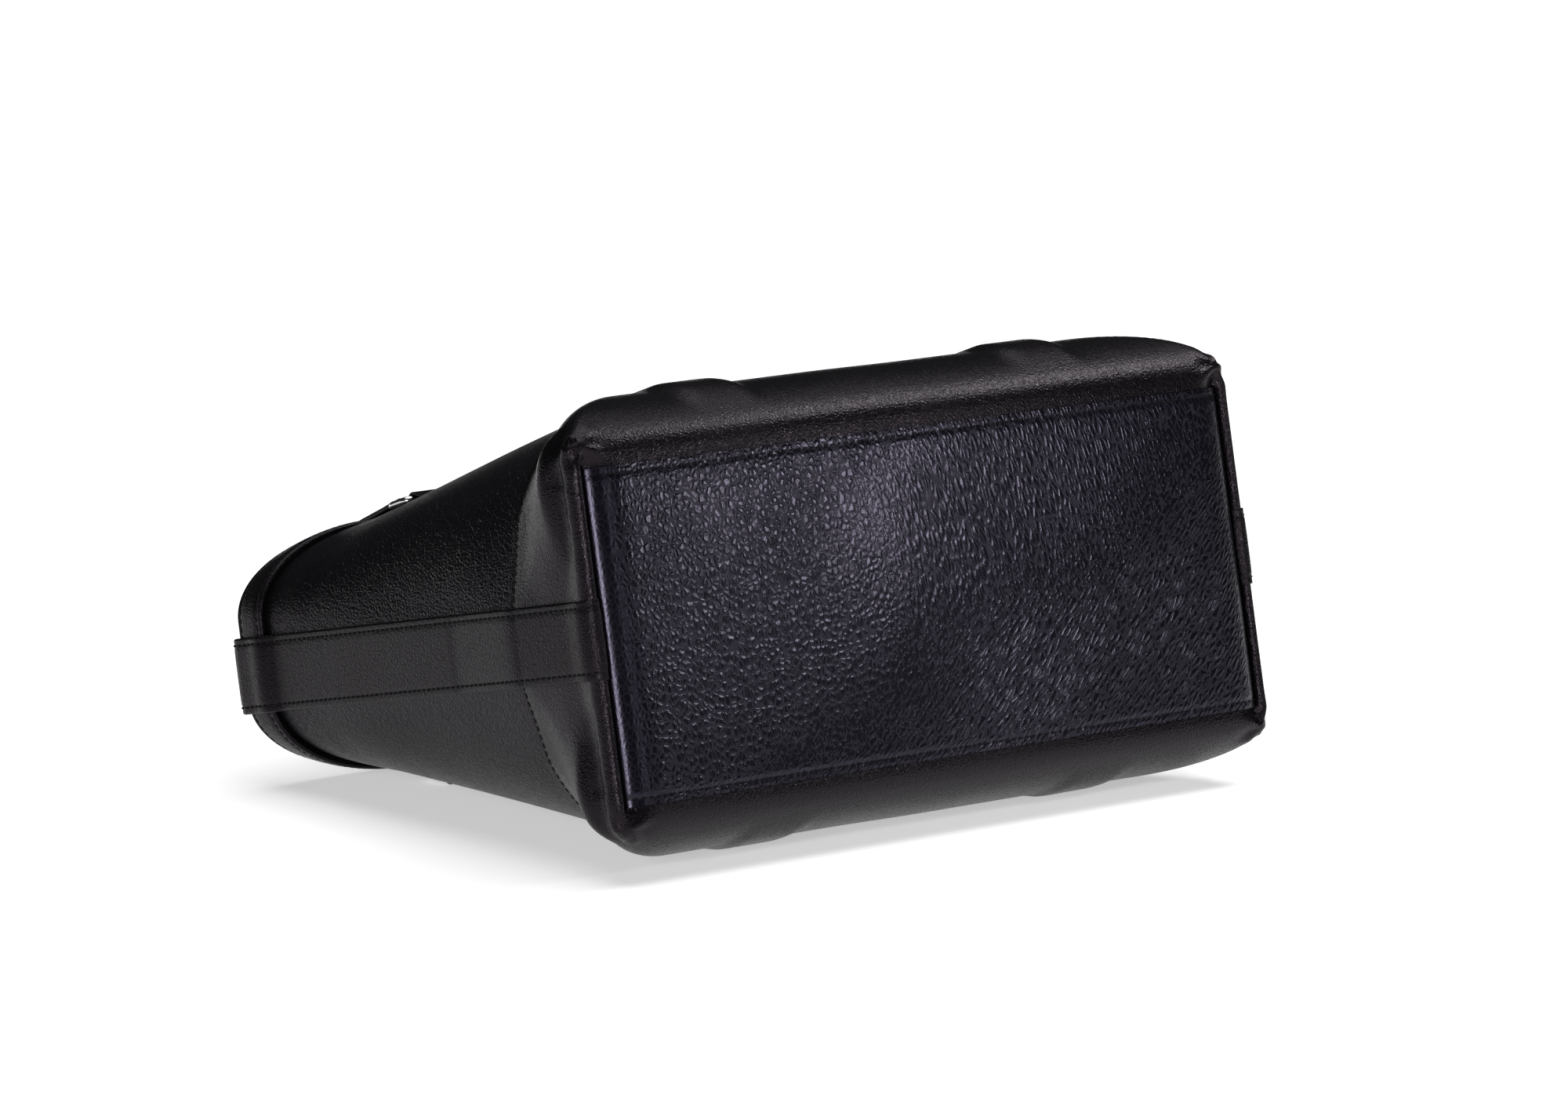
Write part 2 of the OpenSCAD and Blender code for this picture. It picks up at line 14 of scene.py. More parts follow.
import bpy
import numpy as np
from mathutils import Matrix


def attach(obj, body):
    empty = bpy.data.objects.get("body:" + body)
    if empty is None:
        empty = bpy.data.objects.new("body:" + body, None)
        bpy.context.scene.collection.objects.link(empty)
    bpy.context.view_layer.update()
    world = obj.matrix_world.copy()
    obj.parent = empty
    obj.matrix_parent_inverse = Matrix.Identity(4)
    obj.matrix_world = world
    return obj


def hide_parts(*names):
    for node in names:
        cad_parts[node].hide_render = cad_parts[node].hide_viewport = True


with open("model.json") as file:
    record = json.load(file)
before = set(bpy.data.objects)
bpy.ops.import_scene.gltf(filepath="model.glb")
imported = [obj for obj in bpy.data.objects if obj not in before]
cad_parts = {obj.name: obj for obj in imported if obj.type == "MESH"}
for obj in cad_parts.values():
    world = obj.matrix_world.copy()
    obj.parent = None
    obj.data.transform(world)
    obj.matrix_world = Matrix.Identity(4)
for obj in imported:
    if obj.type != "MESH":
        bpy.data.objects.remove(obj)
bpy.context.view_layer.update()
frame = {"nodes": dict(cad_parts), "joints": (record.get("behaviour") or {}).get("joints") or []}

log = logging.getLogger("doctor_bag")

FRONT = -1
BACK = 1


# ---- Form of the bag ----


def ease(t: np.ndarray | float) -> np.ndarray:
    """Smooth step from 0 to 1."""
    t = np.clip(t, 0.0, 1.0)
    return t * t * (3 - 2 * t)


def mix(a: float, b: float, t: np.ndarray | float) -> np.ndarray | float:
    """Straight blend from a to b."""
    return a + (b - a) * t


def unit(vectors: np.ndarray) -> np.ndarray:
    """Vectors of length 1 in the same directions."""
    return vectors / np.linalg.norm(vectors, axis=-1, keepdims=True)


def run_of(line: np.ndarray) -> np.ndarray:
    """Distance run along a line at each of its points."""
    return np.concatenate([[0.0], np.cumsum(np.linalg.norm(np.diff(line, axis=0), axis=1))])


def on_line(line: np.ndarray, run: np.ndarray, want: np.ndarray) -> np.ndarray:
    """Values of a line at the wanted distances, from its values at the distances run."""
    return np.stack([np.interp(want, run, line[:, i]) for i in range(line.shape[1])], axis=1)


@dataclass(frozen=True)
class Lie:
    """How the upright bag is laid on its back, from millimetres to the row's metres."""

    lean: float = 11.777
    lift: float = 117.89
    middle: float = 187.8024

    def place(self, points: np.ndarray) -> np.ndarray:
        """Lays points down.

        Args:
            points: Upright points in millimetres, with x, y, z last.

        Returns:
            The same points in the row's frame, in metres.
        """
        s, c = math.sin(math.radians(self.lean)), math.cos(math.radians(self.lean))
        x, y, z = points[..., 0], points[..., 1], points[..., 2]
        return np.stack(
            [x, -y * s + z * c - self.middle, -y * c - z * s + self.lift], axis=-1
        ) / 1000.0

    def stand_up(self, place: np.ndarray) -> np.ndarray:
        """Upright point of a place in the row's frame."""
        s, c = math.sin(math.radians(self.lean)), math.cos(math.radians(self.lean))
        x, y, z = place[0] * 1000, place[1] * 1000 + self.middle, place[2] * 1000 - self.lift
        return np.array([x, -y * s - z * c, y * c - z * s])


@dataclass(frozen=True)
class Form:
    """Sizes of the bag's body, in millimetres, as its solids have them."""

    bottom_l: float = 396
    bottom_w: float = 160
    height: float = 312
    belly_h: float = 50
    belly: tuple[float, float] = (113, 107)
    mouth: tuple[float, float] = (63, 49)
    curve: tuple[float, float] = (1.12, 1.0)
    end_bulge: float = 6
    mouth_l: float = 382
    bottom_corner: float = 6
    belly_corner_l: float = 75
    mouth_corner_l: float = 70
    mouth_corner_d: float = 36
    wrap_h: float = 73

    def _pick(self, pair: tuple[float, float], side: int) -> float:
        """Front or back value of a pair."""
        return pair[0] if side == FRONT else pair[1]

    def bulge(self, z: np.ndarray) -> np.ndarray:
        """Round of the base, from 0 at the bottom to 1 at the belly."""
        return np.sqrt(np.clip(1 - (1 - np.minimum(z, self.belly_h) / self.belly_h) ** 2, 0, 1))

    def taper(self, z: np.ndarray, power: float) -> np.ndarray:
        """Taper of the walls, from 0 at the belly to 1 at the rim."""
        return np.clip((z - self.belly_h) / (self.height - self.belly_h), 0, 1.05) ** power

    def depth(self, side: int, z: np.ndarray) -> np.ndarray:
        """Distance from the middle to the front or back at height z."""
        belly, mouth = self._pick(self.belly, side), self._pick(self.mouth, side)
        low = mix(self.bottom_w / 2, belly, self.bulge(z))
        return low - (belly - mouth) * self.taper(z, self._pick(self.curve, side))

    def length(self, z: np.ndarray) -> np.ndarray:
        """Half length of the bag at height z."""
        wide = self.bottom_l + 2 * self.end_bulge
        low = mix(self.bottom_l, wide, self.bulge(z)) / 2
        return low - (wide - self.mouth_l) / 2 * self.taper(z, self.curve[0])

    def corner(self, side: int, z: np.ndarray) -> tuple[np.ndarray, np.ndarray]:
        """Length and depth of the rounded corner at height z."""
        deep = float(self.depth(side, np.array(self.wrap_h))) - self.bottom_corner
        t = ease(z / self.wrap_h)
        up = np.clip((z - self.wrap_h) / (self.height - self.wrap_h), 0, 1)
        along = mix(self.bottom_corner, self.belly_corner_l, t)
        across = mix(self.bottom_corner, deep, t)
        return (
            along + (self.mouth_corner_l - self.belly_corner_l) * up,
            across + (self.mouth_corner_d - deep) * up,
        )


LIE = Lie()
FORM = Form()

# Distances of the layers from the outside of the base wrap, and other shared sizes.
WRAP_T = 1.8
# How the strap holds the ends in: depth, half width that stays level, and reach of the curve.
HELD = (3.2, 17.0, 24.0)
BODY_OUT = -2.0
BODY_T = 1.8
LINING_OUT = -4.0
LINING_T = 0.8
BAND_OUT = 2.0
BAND_FOOT = 290.0
LEG_X = 101.0
LEG_W = 30.0
RIDGE = 3.0
SEAM_X = 199.5
RING_Z = 258.0
HINGE_Z = 296.0


def quarter(
    a: np.ndarray, b: np.ndarray, cl: np.ndarray, cd: np.ndarray, columns: np.ndarray
) -> tuple[np.ndarray, np.ndarray]:
    """Places columns around one quarter of a rounded outline, from an end's middle.

    Args:
        a: Half length of the outline.
        b: Half depth of the outline.
        cl: Length of its rounded corner.
        cd: Depth of its rounded corner.
        columns: Places from 0 at the end's middle, over 1 at the corner, to 2 at the face's middle.

    Returns:
        Points [x, y] with both positive, and how far each is round the corner, from 0 to 1.
    """
    turn = np.linspace(0, math.pi / 2, 33)
    arc = np.stack([a - cl + cl * np.cos(turn), b - cd + cd * np.sin(turn)], axis=-1)
    line = np.concatenate([[[a, 0.0]], arc, [[0.0, b]]])
    step = run_of(line)
    at_corner = step[17]
    want = np.where(
        columns <= 1, columns * at_corner, at_corner + (columns - 1) * (step[-1] - at_corner)
    )
    points = on_line(line, step, want)
    round_corner = np.clip((want - step[1]) / max(step[33] - step[1], 1e-6), 0, 1)
    return points, round_corner


@dataclass(frozen=True)
class Level:
    """One closed line around the bag: where it runs on the ends and on both faces."""

    end_x: float
    end_z: float
    front_y: float
    front_z: float
    back_y: float
    back_z: float
    corner_front: tuple[float, float]
    corner_back: tuple[float, float]

    def points(self, columns: np.ndarray) -> np.ndarray:
        """Points of the line, round the whole bag from the left end's middle.

        Args:
            columns: Places in a quarter, from 0 to 2.

        Returns:
            Upright points, over the front, the right end and the back to the start again.
        """
        quarters = []
        for y, z, (cl, cd), side in (
            (self.front_y, self.front_z, self.corner_front, FRONT),
            (self.back_y, self.back_z, self.corner_back, BACK),
        ):
            flat, bend = quarter(self.end_x, y, cl, cd, columns)
            height = mix(self.end_z, z, ease(bend))
            quarters.append(np.column_stack([flat[:, 0], side * flat[:, 1], height]))
        front, back = quarters
        flip = np.array([-1.0, 1.0, 1.0])
        return np.concatenate(
            [front * flip, front[::-1][1:], back[1:], (back * flip)[::-1][1:]]
        )


def plain_level(z: float, off: float) -> Level:
    """Level at one height, at a distance outside the base wrap's line."""
    zz = np.array(z)
    front, back = FORM.corner(FRONT, zz), FORM.corner(BACK, zz)
    grow = lambda pair: (max(float(pair[0]) + off, 1.0), max(float(pair[1]) + off, 1.0))
    return Level(
        float(FORM.length(zz)) + off, z, float(FORM.depth(FRONT, zz)) + off, z,
        float(FORM.depth(BACK, zz)) + off, z, grow(front), grow(back),
    )


# ---- Mesh work ----


class Bench:
    """Mesh helpers, all through Blender's own tools."""

    @staticmethod
    def clear() -> None:
        """Deselects everything."""
        bpy.ops.object.select_all(action="DESELECT")

    @staticmethod
    def only(piece: bpy.types.Object) -> None:
        """Selects one piece and makes it active."""
        Bench.clear()
        piece.select_set(True)
        bpy.context.view_layer.objects.active = piece

    @staticmethod
    def lattice(name: str, points: np.ndarray, uv_scale: tuple[float, float] = (1, 1)) -> bpy.types.Object:
        """Shapes a grid primitive into a surface.

        Args:
            name: Name of the new piece.
            points: Upright points in millimetres, [rows, columns, 3].
            uv_scale: Size in metres that the grid's rows and columns stand for in its UV map.

        Returns:
            The new object, laid down in the row's frame.
        """
        rows, cols = points.shape[:2]
        Bench.clear()
        bpy.ops.mesh.primitive_grid_add(x_subdivisions=cols - 1, y_subdivisions=rows - 1, size=2)
        piece = bpy.context.active_object
        piece.name = piece.data.name = name
        mesh = piece.data
        flat = np.empty(len(mesh.vertices) * 3)
        mesh.vertices.foreach_get("co", flat)
        flat = flat.reshape(-1, 3)
        col = np.rint((flat[:, 0] + 1) / 2 * (cols - 1)).astype(int)
        row = np.rint((flat[:, 1] + 1) / 2 * (rows - 1)).astype(int)
        mesh.vertices.foreach_set("co", LIE.place(points)[row, col].ravel())
        uv = np.empty(len(mesh.loops) * 2)
        mesh.uv_layers.active.data.foreach_get("uv", uv)
        uv = uv.reshape(-1, 2) * np.array(uv_scale)
        mesh.uv_layers.active.data.foreach_set("uv", uv.ravel())
        mesh.update()
        return piece

    @staticmethod
    def edit(piece: bpy.types.Object, *steps: Callable[[], object], everything: bool = True) -> None:
        """Runs steps on a piece in edit mode.

        Args:
            piece: The piece to edit.
            steps: Operators to call one after another.
            everything: Whether all of the piece is selected at the start, or nothing.
        """
        Bench.only(piece)
        bpy.ops.object.mode_set(mode="EDIT")
        bpy.ops.mesh.select_all(action="SELECT" if everything else "DESELECT")
        for step in steps:
            step()
        bpy.ops.mesh.select_all(action="DESELECT")
        bpy.ops.object.mode_set(mode="OBJECT")

    @staticmethod
    def weld(piece: bpy.types.Object, reach: float = 1e-5) -> None:
        """Merges a piece's doubled points, such as a closed strip's first and last column."""
        Bench.edit(piece, lambda: bpy.ops.mesh.remove_doubles(threshold=reach))

    @staticmethod
    def outwards(piece: bpy.types.Object) -> None:
        """Turns a closed piece's faces outwards."""
        Bench.edit(piece, lambda: bpy.ops.mesh.normals_make_consistent(inside=False))

    @staticmethod
    def cap(piece: bpy.types.Object) -> None:
        """Closes a tube's open ends."""
        Bench.edit(
            piece,
            lambda: bpy.ops.mesh.select_mode(type="EDGE"),
            lambda: bpy.ops.mesh.select_non_manifold(extend=False),
            bpy.ops.mesh.edge_face_add,
            lambda: bpy.ops.mesh.select_mode(type="VERT"),
            everything=False,
        )

    @staticmethod
    def apply(piece: bpy.types.Object, kind: str, **settings: object) -> None:
        """Adds a modifier with its settings and applies it."""
        Bench.only(piece)
        modifier = piece.modifiers.new(kind.lower(), kind)
        for key, value in settings.items():
            setattr(modifier, key, value)
        bpy.ops.object.modifier_apply(modifier=modifier.name)

    @staticmethod
    def smooth(piece: bpy.types.Object, angle: float = 40) -> None:
        """Shades a piece smooth, but for edges sharper than an angle in degrees."""
        Bench.only(piece)
        bpy.ops.object.shade_smooth_by_angle(angle=math.radians(angle))

    @staticmethod
    def sheet(
        name: str, points: np.ndarray, thick: float, outward: np.ndarray, closed: bool,
        uv_scale: tuple[float, float] = (1, 1),
    ) -> bpy.types.Object:
        """Makes a sheet of leather or cloth with its thickness on the inside.

        Args:
            name: Name of the piece.
            points: Upright points of its outer face, [rows, columns, 3].
            thick: Thickness in millimetres.
            outward: Upright direction that the outer face looks at its middle point.
            closed: Whether the last column meets the first.
            uv_scale: Size in metres of the UV map.

        Returns:
            The finished sheet.
        """
        piece = Bench.lattice(name, points, uv_scale)
        rows, cols = points.shape[:2]
        r, c = rows // 2, cols // 2
        normal = np.cross(points[r, c + 1] - points[r, c], points[r + 1, c] - points[r, c])
        if np.dot(normal, outward) < 0:
            Bench.edit(piece, bpy.ops.mesh.flip_normals)
        if closed:
            Bench.weld(piece)
        Bench.apply(piece, "SOLIDIFY", thickness=thick / 1000, offset=-1.0, use_quality_normals=True)
        Bench.smooth(piece)
        return piece


def rails(path: np.ndarray, up: np.ndarray) -> tuple[np.ndarray, np.ndarray]:
    """Sideways and upward directions along a path."""
    way = unit(np.gradient(path, axis=0))
    up = unit(up - way * np.sum(up * way, axis=1)[:, None])
    return np.cross(way, up), up


def sweep(
    name: str, path: np.ndarray, up: np.ndarray, section: Callable[[float], np.ndarray]
) -> bpy.types.Object:
    """Draws a closed section along a path, as an upright piece laid down.

    Args:
        name: Name of the piece.
        path: Upright points of the path, in millimetres.
        up: Direction of the section's second axis at each point.
        section: Gives the section's points [across, up] at a place from 0 to 1 on the path.

    Returns:
        The closed piece, smooth shaded.
    """
    across, up = rails(path, up)
    rows = []
    for i, t in enumerate(np.linspace(0, 1, len(path))):
        outline = section(t)
        rows.append(path[i] + outline[:, :1] * across[i] + outline[:, 1:] * up[i])
    points = np.array(rows)
    points = np.concatenate([points, points[:, :1]], axis=1)
    length, girth = run_of(path)[-1] / 1000, run_of(points[len(path) // 2])[-1] / 1000
    piece = Bench.lattice(name, points, (girth, length))
    Bench.weld(piece)
    Bench.cap(piece)
    Bench.outwards(piece)
    Bench.smooth(piece)
    return piece


def slab(width: float, low: float, high: float, edge: float, crown: float = 0.0) -> np.ndarray:
    """Section of a strap with rounded edges.

    Args:
        width: Width of the strap.
        low: Height of its underside.
        high: Height of its upper side at the edges.
        edge: Radius of its edges.
        crown: How much higher its middle is.

    Returns:
        Points [across, up] around the section.
    """
    half = width / 2
    edge = min(edge, (high - low) / 2 - 0.01)
    top = [(x, high + crown * (1 - abs(x / half) ** 4)) for x in np.linspace(-half + edge, half - edge, 13)]
    turn = np.radians(np.linspace(75, 0, 5))
    right = [(half - edge + edge * math.cos(t), high - edge + edge * math.sin(t)) for t in turn]
    right += [(half - edge + edge * math.cos(t), low + edge - edge * math.sin(t)) for t in turn[::-1]]
    bottom = [(x, low) for x in np.linspace(half - edge, -half + edge, 7)]
    left = [(-x, y) for x, y in right[::-1]]
    return np.array(top + right + bottom + left)


@dataclass
class Stitcher:
    """Sews rows of stitches, each copied from one small thread bead."""

    pitch: float = 4.2
    length: float = 3.0
    width: float = 1.35
    rise: float = 0.42
    slant: float = 7.0
    rows: dict[str, list[np.ndarray]] = field(default_factory=dict)

    def bead(self) -> bpy.types.Object:
        """Models one stitch, in millimetres and along x."""
        Bench.clear()
        bpy.ops.mesh.primitive_uv_sphere_add(segments=6, ring_count=5, radius=0.5, calc_uvs=False)
        bead = bpy.context.active_object
        for vertex in bead.data.vertices:
            x, y, z = vertex.co
            vertex.co = (z * self.length, x * self.width, y * 2 * self.rise)
        return bead

    def sew(self, group: str, path: np.ndarray, normal: np.ndarray, closed: bool = False) -> None:
        """Adds a row of stitches.

        Args:
            group: Piece of thread that the row belongs to.
            path: Upright points of the row on the leather's surface.
            normal: Direction out of the leather at each point.
            closed: Whether the row runs round to its start.
        """
        if closed:
            path, normal = np.vstack([path, path[:1]]), np.vstack([normal, normal[:1]])
        run = run_of(path)
        count = max(int(run[-1] / self.pitch), 1)
        middle = (np.arange(count) + 0.5) * run[-1] / count
        at = on_line(path, run, middle)
        way = unit(on_line(path, run, middle + 0.5) - on_line(path, run, middle - 0.5))
        up = on_line(normal, run, middle)
        up = unit(up - way * np.sum(up * way, axis=1)[:, None])
        s, c = math.sin(math.radians(self.slant)), math.cos(math.radians(self.slant))
        turned = way * c + np.cross(up, way) * s
        self.rows.setdefault(group, []).append(
            np.stack([at, turned, np.cross(up, turned), up], axis=1)
        )

    def finish(self) -> list[bpy.types.Object]:
        """Copies the stitch along each group's rows and joins each group into one piece."""
        bead = self.bead()
        shape = np.array([v.co[:] for v in bead.data.vertices])
        pieces = []
        for group, rows in self.rows.items():
            frames = np.concatenate(rows)
            at, axes = frames[:, 0], frames[:, 1:]
            placed = LIE.place(at[:, None, :] + np.einsum("pk,nkj->npj", shape, axes))
            Bench.clear()
            for points in placed:
                piece = bpy.data.objects.new(group, bead.data.copy())
                bpy.context.scene.collection.objects.link(piece)
                piece.data.vertices.foreach_set("co", points.ravel())
                piece.select_set(True)
            bpy.context.view_layer.objects.active = piece
            bpy.ops.object.join()
            piece.name = piece.data.name = group
            Bench.outwards(piece)
            Bench.smooth(piece, 80)
            pieces.append(piece)
        bpy.data.objects.remove(bead, do_unlink=True)
        return pieces


STITCHES = Stitcher()


# ---- Finishes ----


class Sock:
    """A shader value that takes part in plain Python maths."""

    def __init__(self, shader: "Shader", link: bpy.types.NodeSocket) -> None:
        """Wraps an output socket of a shader."""
        self.shader = shader
        self.link = link

    def _math(self, operation: str, first: object, second: object) -> "Sock":
        """Adds a Math node for one operation."""
        node = self.shader.node("ShaderNodeMath", {"operation": operation}, {0: first, 1: second})
        return Sock(self.shader, node.outputs[0])

    def __add__(self, other: object) -> "Sock":
        """Sum."""
        return self._math("ADD", self, other)

    __radd__ = __add__

    def __sub__(self, other: object) -> "Sock":
        """Difference."""
        return self._math("SUBTRACT", self, other)

    def __rsub__(self, other: object) -> "Sock":
        """Difference with the value second."""
        return self._math("SUBTRACT", other, self)

    def __mul__(self, other: object) -> "Sock":
        """Product."""
        return self._math("MULTIPLY", self, other)

    __rmul__ = __mul__

    def least(self, other: object) -> "Sock":
        """The smaller of two values."""
        return self._math("MINIMUM", self, other)

    def most(self, other: object) -> "Sock":
        """The larger of two values."""
        return self._math("MAXIMUM", self, other)


class Shader:
    """A material under construction."""

    def __init__(self, name: str) -> None:
        """Starts a material with a bare Principled shader."""
        self.material = bpy.data.materials.new(name)
        self.material.use_nodes = True
        self.tree = self.material.node_tree
        self.tree.nodes.clear()
        self.surface = self.tree.nodes.new("ShaderNodeBsdfPrincipled")
        out = self.tree.nodes.new("ShaderNodeOutputMaterial")
        self.tree.links.new(self.surface.outputs[0], out.inputs["Surface"])

    def node(
        self, kind: str, settings: dict[str, object] | None = None,
        inputs: dict[object, object] | None = None,
    ) -> bpy.types.Node:
        """Adds a node.

        Args:
            kind: The node's type.
            settings: Its own settings, which are set first.
            inputs: Values or links of its sockets, by name or number.

        Returns:
            The new node.
        """
        node = self.tree.nodes.new(kind)
        for key, value in (settings or {}).items():
            setattr(node, key, value)
        for key, value in (inputs or {}).items():
            self.feed(node.inputs[key], value)
        return node

    def feed(self, socket: bpy.types.NodeSocket, value: object) -> None:
        """Links or sets one input socket."""
        if isinstance(value, Sock):
            self.tree.links.new(value.link, socket)
        elif isinstance(value, bpy.types.NodeSocket):
            self.tree.links.new(value, socket)
        else:
            socket.default_value = value

    def place(
        self, scale: Sequence[float] = (1, 1, 1), turn: Sequence[float] = (0, 0, 0), uv: bool = False,
    ) -> Sock:
        """Gives the piece's own coordinates, turned and then scaled.

        Args:
            scale: Scale along each axis.
            turn: Turn about each axis, in degrees.
            uv: Reads the UV map, in metres, in place of Object coordinates.
        """
        coords = self.node("ShaderNodeTexCoord").outputs["UV" if uv else "Object"]
        if any(turn):
            coords = self.node(
                "ShaderNodeMapping", None, {"Vector": coords, "Rotation": [math.radians(t) for t in turn]}
            ).outputs[0]
        return Sock(self, self.node(
            "ShaderNodeMapping", None, {"Vector": coords, "Scale": tuple(scale)}
        ).outputs[0])

    def noise(self, at: Sock, scale: float, detail: float = 3, rough: float = 0.5) -> Sock:
        """Noise from 0 to 1 at a place."""
        node = self.node("ShaderNodeTexNoise", {"noise_dimensions": "3D"}, {
            "Vector": at, "Scale": scale, "Detail": detail, "Roughness": rough,
        })
        return Sock(self, node.outputs[0])

    def cells(self, at: Sock, scale: float) -> Sock:
        """Distance to the nearest cell border."""
        node = self.node("ShaderNodeTexVoronoi", {"feature": "DISTANCE_TO_EDGE"}, {
            "Vector": at, "Scale": scale,
        })
        return Sock(self, node.outputs["Distance"])

    def step(self, value: Sock, low: float, high: float) -> Sock:
        """Smooth 0 to 1 between two values."""
        node = self.node("ShaderNodeMapRange", {"interpolation_type": "SMOOTHSTEP"}, {
            "Value": value, "From Min": low, "From Max": high,
        })
        return Sock(self, node.outputs[0])

    def blend(self, factor: Sock, first: Sequence[float] | Sock, second: Sequence[float] | Sock) -> Sock:
        """Mixes two colours."""
        as_colour = lambda c: c if isinstance(c, Sock) else (*c, 1.0)
        node = self.node("ShaderNodeMix", {"data_type": "RGBA"}, {
            0: factor, 6: as_colour(first), 7: as_colour(second),
        })
        return Sock(self, node.outputs[2])

    def shift(self, at: Sock, scale: float, amount: float) -> Sock:
        """Pushes coordinates about by noise, so that patterns wander."""
        noise = self.node("ShaderNodeTexNoise", {"noise_dimensions": "3D"}, {
            "Vector": at, "Scale": scale, "Detail": 2.0,
        })
        centred = self.node("ShaderNodeVectorMath", {"operation": "SUBTRACT"}, {
            0: noise.outputs["Color"], 1: (0.5, 0.5, 0.5),
        })
        scaled = self.node("ShaderNodeVectorMath", {"operation": "SCALE"}, {0: centred.outputs[0], 3: amount})
        return Sock(self, self.node("ShaderNodeVectorMath", {"operation": "ADD"}, {
            0: at, 1: scaled.outputs[0],
        }).outputs[0])

    def bump(self, height: Sock, distance: float, strength: float = 1.0) -> None:
        """Raises the surface by a height in metres times distance."""
        node = self.node("ShaderNodeBump", None, {
            "Strength": strength, "Distance": distance, "Height": height,
        })
        self.tree.links.new(node.outputs[0], self.surface.inputs["Normal"])

    def set(self, **values: object) -> bpy.types.Material:
        """Sets the Principled shader's sockets; an underscore stands for a space."""
        for key, value in values.items():
            name = key.replace("_", " ")
            if isinstance(value, tuple) and len(value) == 3:
                value = (*value, 1.0)
            self.feed(self.surface.inputs[name], value)
        return self.material


@dataclass(frozen=True)
class Leather:
    """Black leather: pebbled grain between creases, worn a little in patches, with painted shade in its
    creases.
    """

    name: str
    tone: tuple[float, float, float]
    worn: tuple[float, float, float]
    gloss: float = 0.36
    pebble: float = 620.0
    depth: float = 0.00022
    stretch: tuple[float, float, float] = (1, 1, 1)
    wrinkle: float = 0.35
    wander: float = 0.0012
    # How much rougher the creases are, and how strong the painted shade that darkens them is.
    contrast: float = 0.10
    level: float = 0.14
    tint: tuple[float, float, float] = (0.93, 0.77, 0.95)

    def make(self) -> bpy.types.Material:
        """Builds the material."""
        s = Shader(self.name)
        at = s.shift(s.place(self.stretch), 55, self.wander)
        edge = s.cells(at, self.pebble)
        domes, creases = s.step(edge, 0.0, 0.42), 1 - s.step(edge, 0.01, 0.14)
        folds = s.step(s.cells(s.shift(at, 110, 0.002), self.pebble * 0.48), 0.0, 0.13)
        height = domes * 0.6 + folds * self.wrinkle
        wear = s.step(s.noise(s.place(), 14, 4), 0.42, 0.74)
        # Crease mask: it makes the creases rougher, and its minus share in Base_Color is painted shade that
        # darkens them.
        dull_and_crease_shade = creases * self.contrast + (1 - folds) * self.contrast * 0.7
        s.bump(height, self.depth)
        return s.set(
            # Base colour: random worn patches, darkened in the creases by painted shade.
            Base_Color=s.blend(wear * 0.6 + dull_and_crease_shade * -0.6, self.tone, self.worn),
            Roughness=(self.gloss + dull_and_crease_shade + wear * 0.05).least(0.8),
            IOR=1.5,
            Specular_IOR_Level=self.level,
            Specular_Tint=self.tint,
        )


@dataclass(frozen=True)
class BottomLeather:
    """The bottom panel's heavy grain: plump pebbles between creases that sweep to the right."""

    name: str = "bottom_leather"
    tone: tuple[float, float, float] = (0.0026, 0.0025, 0.0042)
    worn: tuple[float, float, float] = (0.0048, 0.0045, 0.0072)
    gloss: float = 0.21
    round_cells: float = 330.0
    long_cells: float = 400.0
    pebble: float = 760.0
    depth: float = 0.00019
    level: float = 0.30
    tint: tuple[float, float, float] = (0.80, 0.72, 1.0)

    def make(self) -> bpy.types.Material:
        """Builds the material."""
        s = Shader(self.name)
        flat = s.place()
        where = s.node("ShaderNodeSeparateXYZ", None, {0: flat})
        across, high = Sock(s, where.outputs[0]), Sock(s, where.outputs[2])
        round_cells = s.cells(s.shift(s.place((1.0, 1.0, 0.75), (0, 10, 0)), 60, 0.003), self.round_cells)
        falling = s.cells(s.shift(s.place((1.0, 1.0, 0.30), (0, 14, 0)), 22, 0.006), self.long_cells)
        rising = s.cells(s.shift(s.place((1.0, 1.0, 0.36), (0, -42, 0)), 22, 0.006), self.long_cells)
        pebble = s.cells(s.shift(flat, 60, 0.002), self.pebble)
        patch = s.noise(flat, 11, 2)
        to_right = s.step(across + patch * 0.22, 0.03, 0.15)
        low_part = s.step(across * 0.4 - high + patch * 0.08, -0.09, 0.0)
        far = round_cells * (1 - to_right) + falling * to_right
        far = far * (1 - low_part) + rising * low_part
        domes, creases = s.step(far, 0.0, 0.36), 1 - s.step(far, 0.01, 0.11)
        small = s.step(pebble, 0.0, 0.34)
        edge = s.step(across, -0.200, -0.178) * (1 - s.step(across, 0.178, 0.200))
        calm = 0.16 + edge * (0.34 + s.step(s.noise(flat, 7, 2), 0.25, 0.7) * 0.5)
        wear = s.step(s.noise(flat, 12, 4), 0.45, 0.75)
        s.bump(domes * calm * 0.85 + small * (0.03 + edge * 0.07), self.depth)
        return s.set(
            Base_Color=s.blend(wear, self.tone, self.worn),
            Roughness=self.gloss + creases * calm * 0.40,
            IOR=1.5,
            Specular_IOR_Level=self.level,
            Specular_Tint=self.tint,
        )


@dataclass(frozen=True)
class Thread:
    """Waxed black thread with its twist."""

    name: str = "thread"

    def make(self) -> bpy.types.Material:
        """Builds the material."""
        s = Shader(self.name)
        at = s.place()
        twist = s.noise(at, 1400, 2, 0.4)
        s.bump(twist, 0.0002)
        return s.set(
            Base_Color=s.blend(twist, (0.0015, 0.0015, 0.002), (0.006, 0.006, 0.007)),
            Roughness=0.55 + twist * 0.2,
            Specular_IOR_Level=0.08,
        )


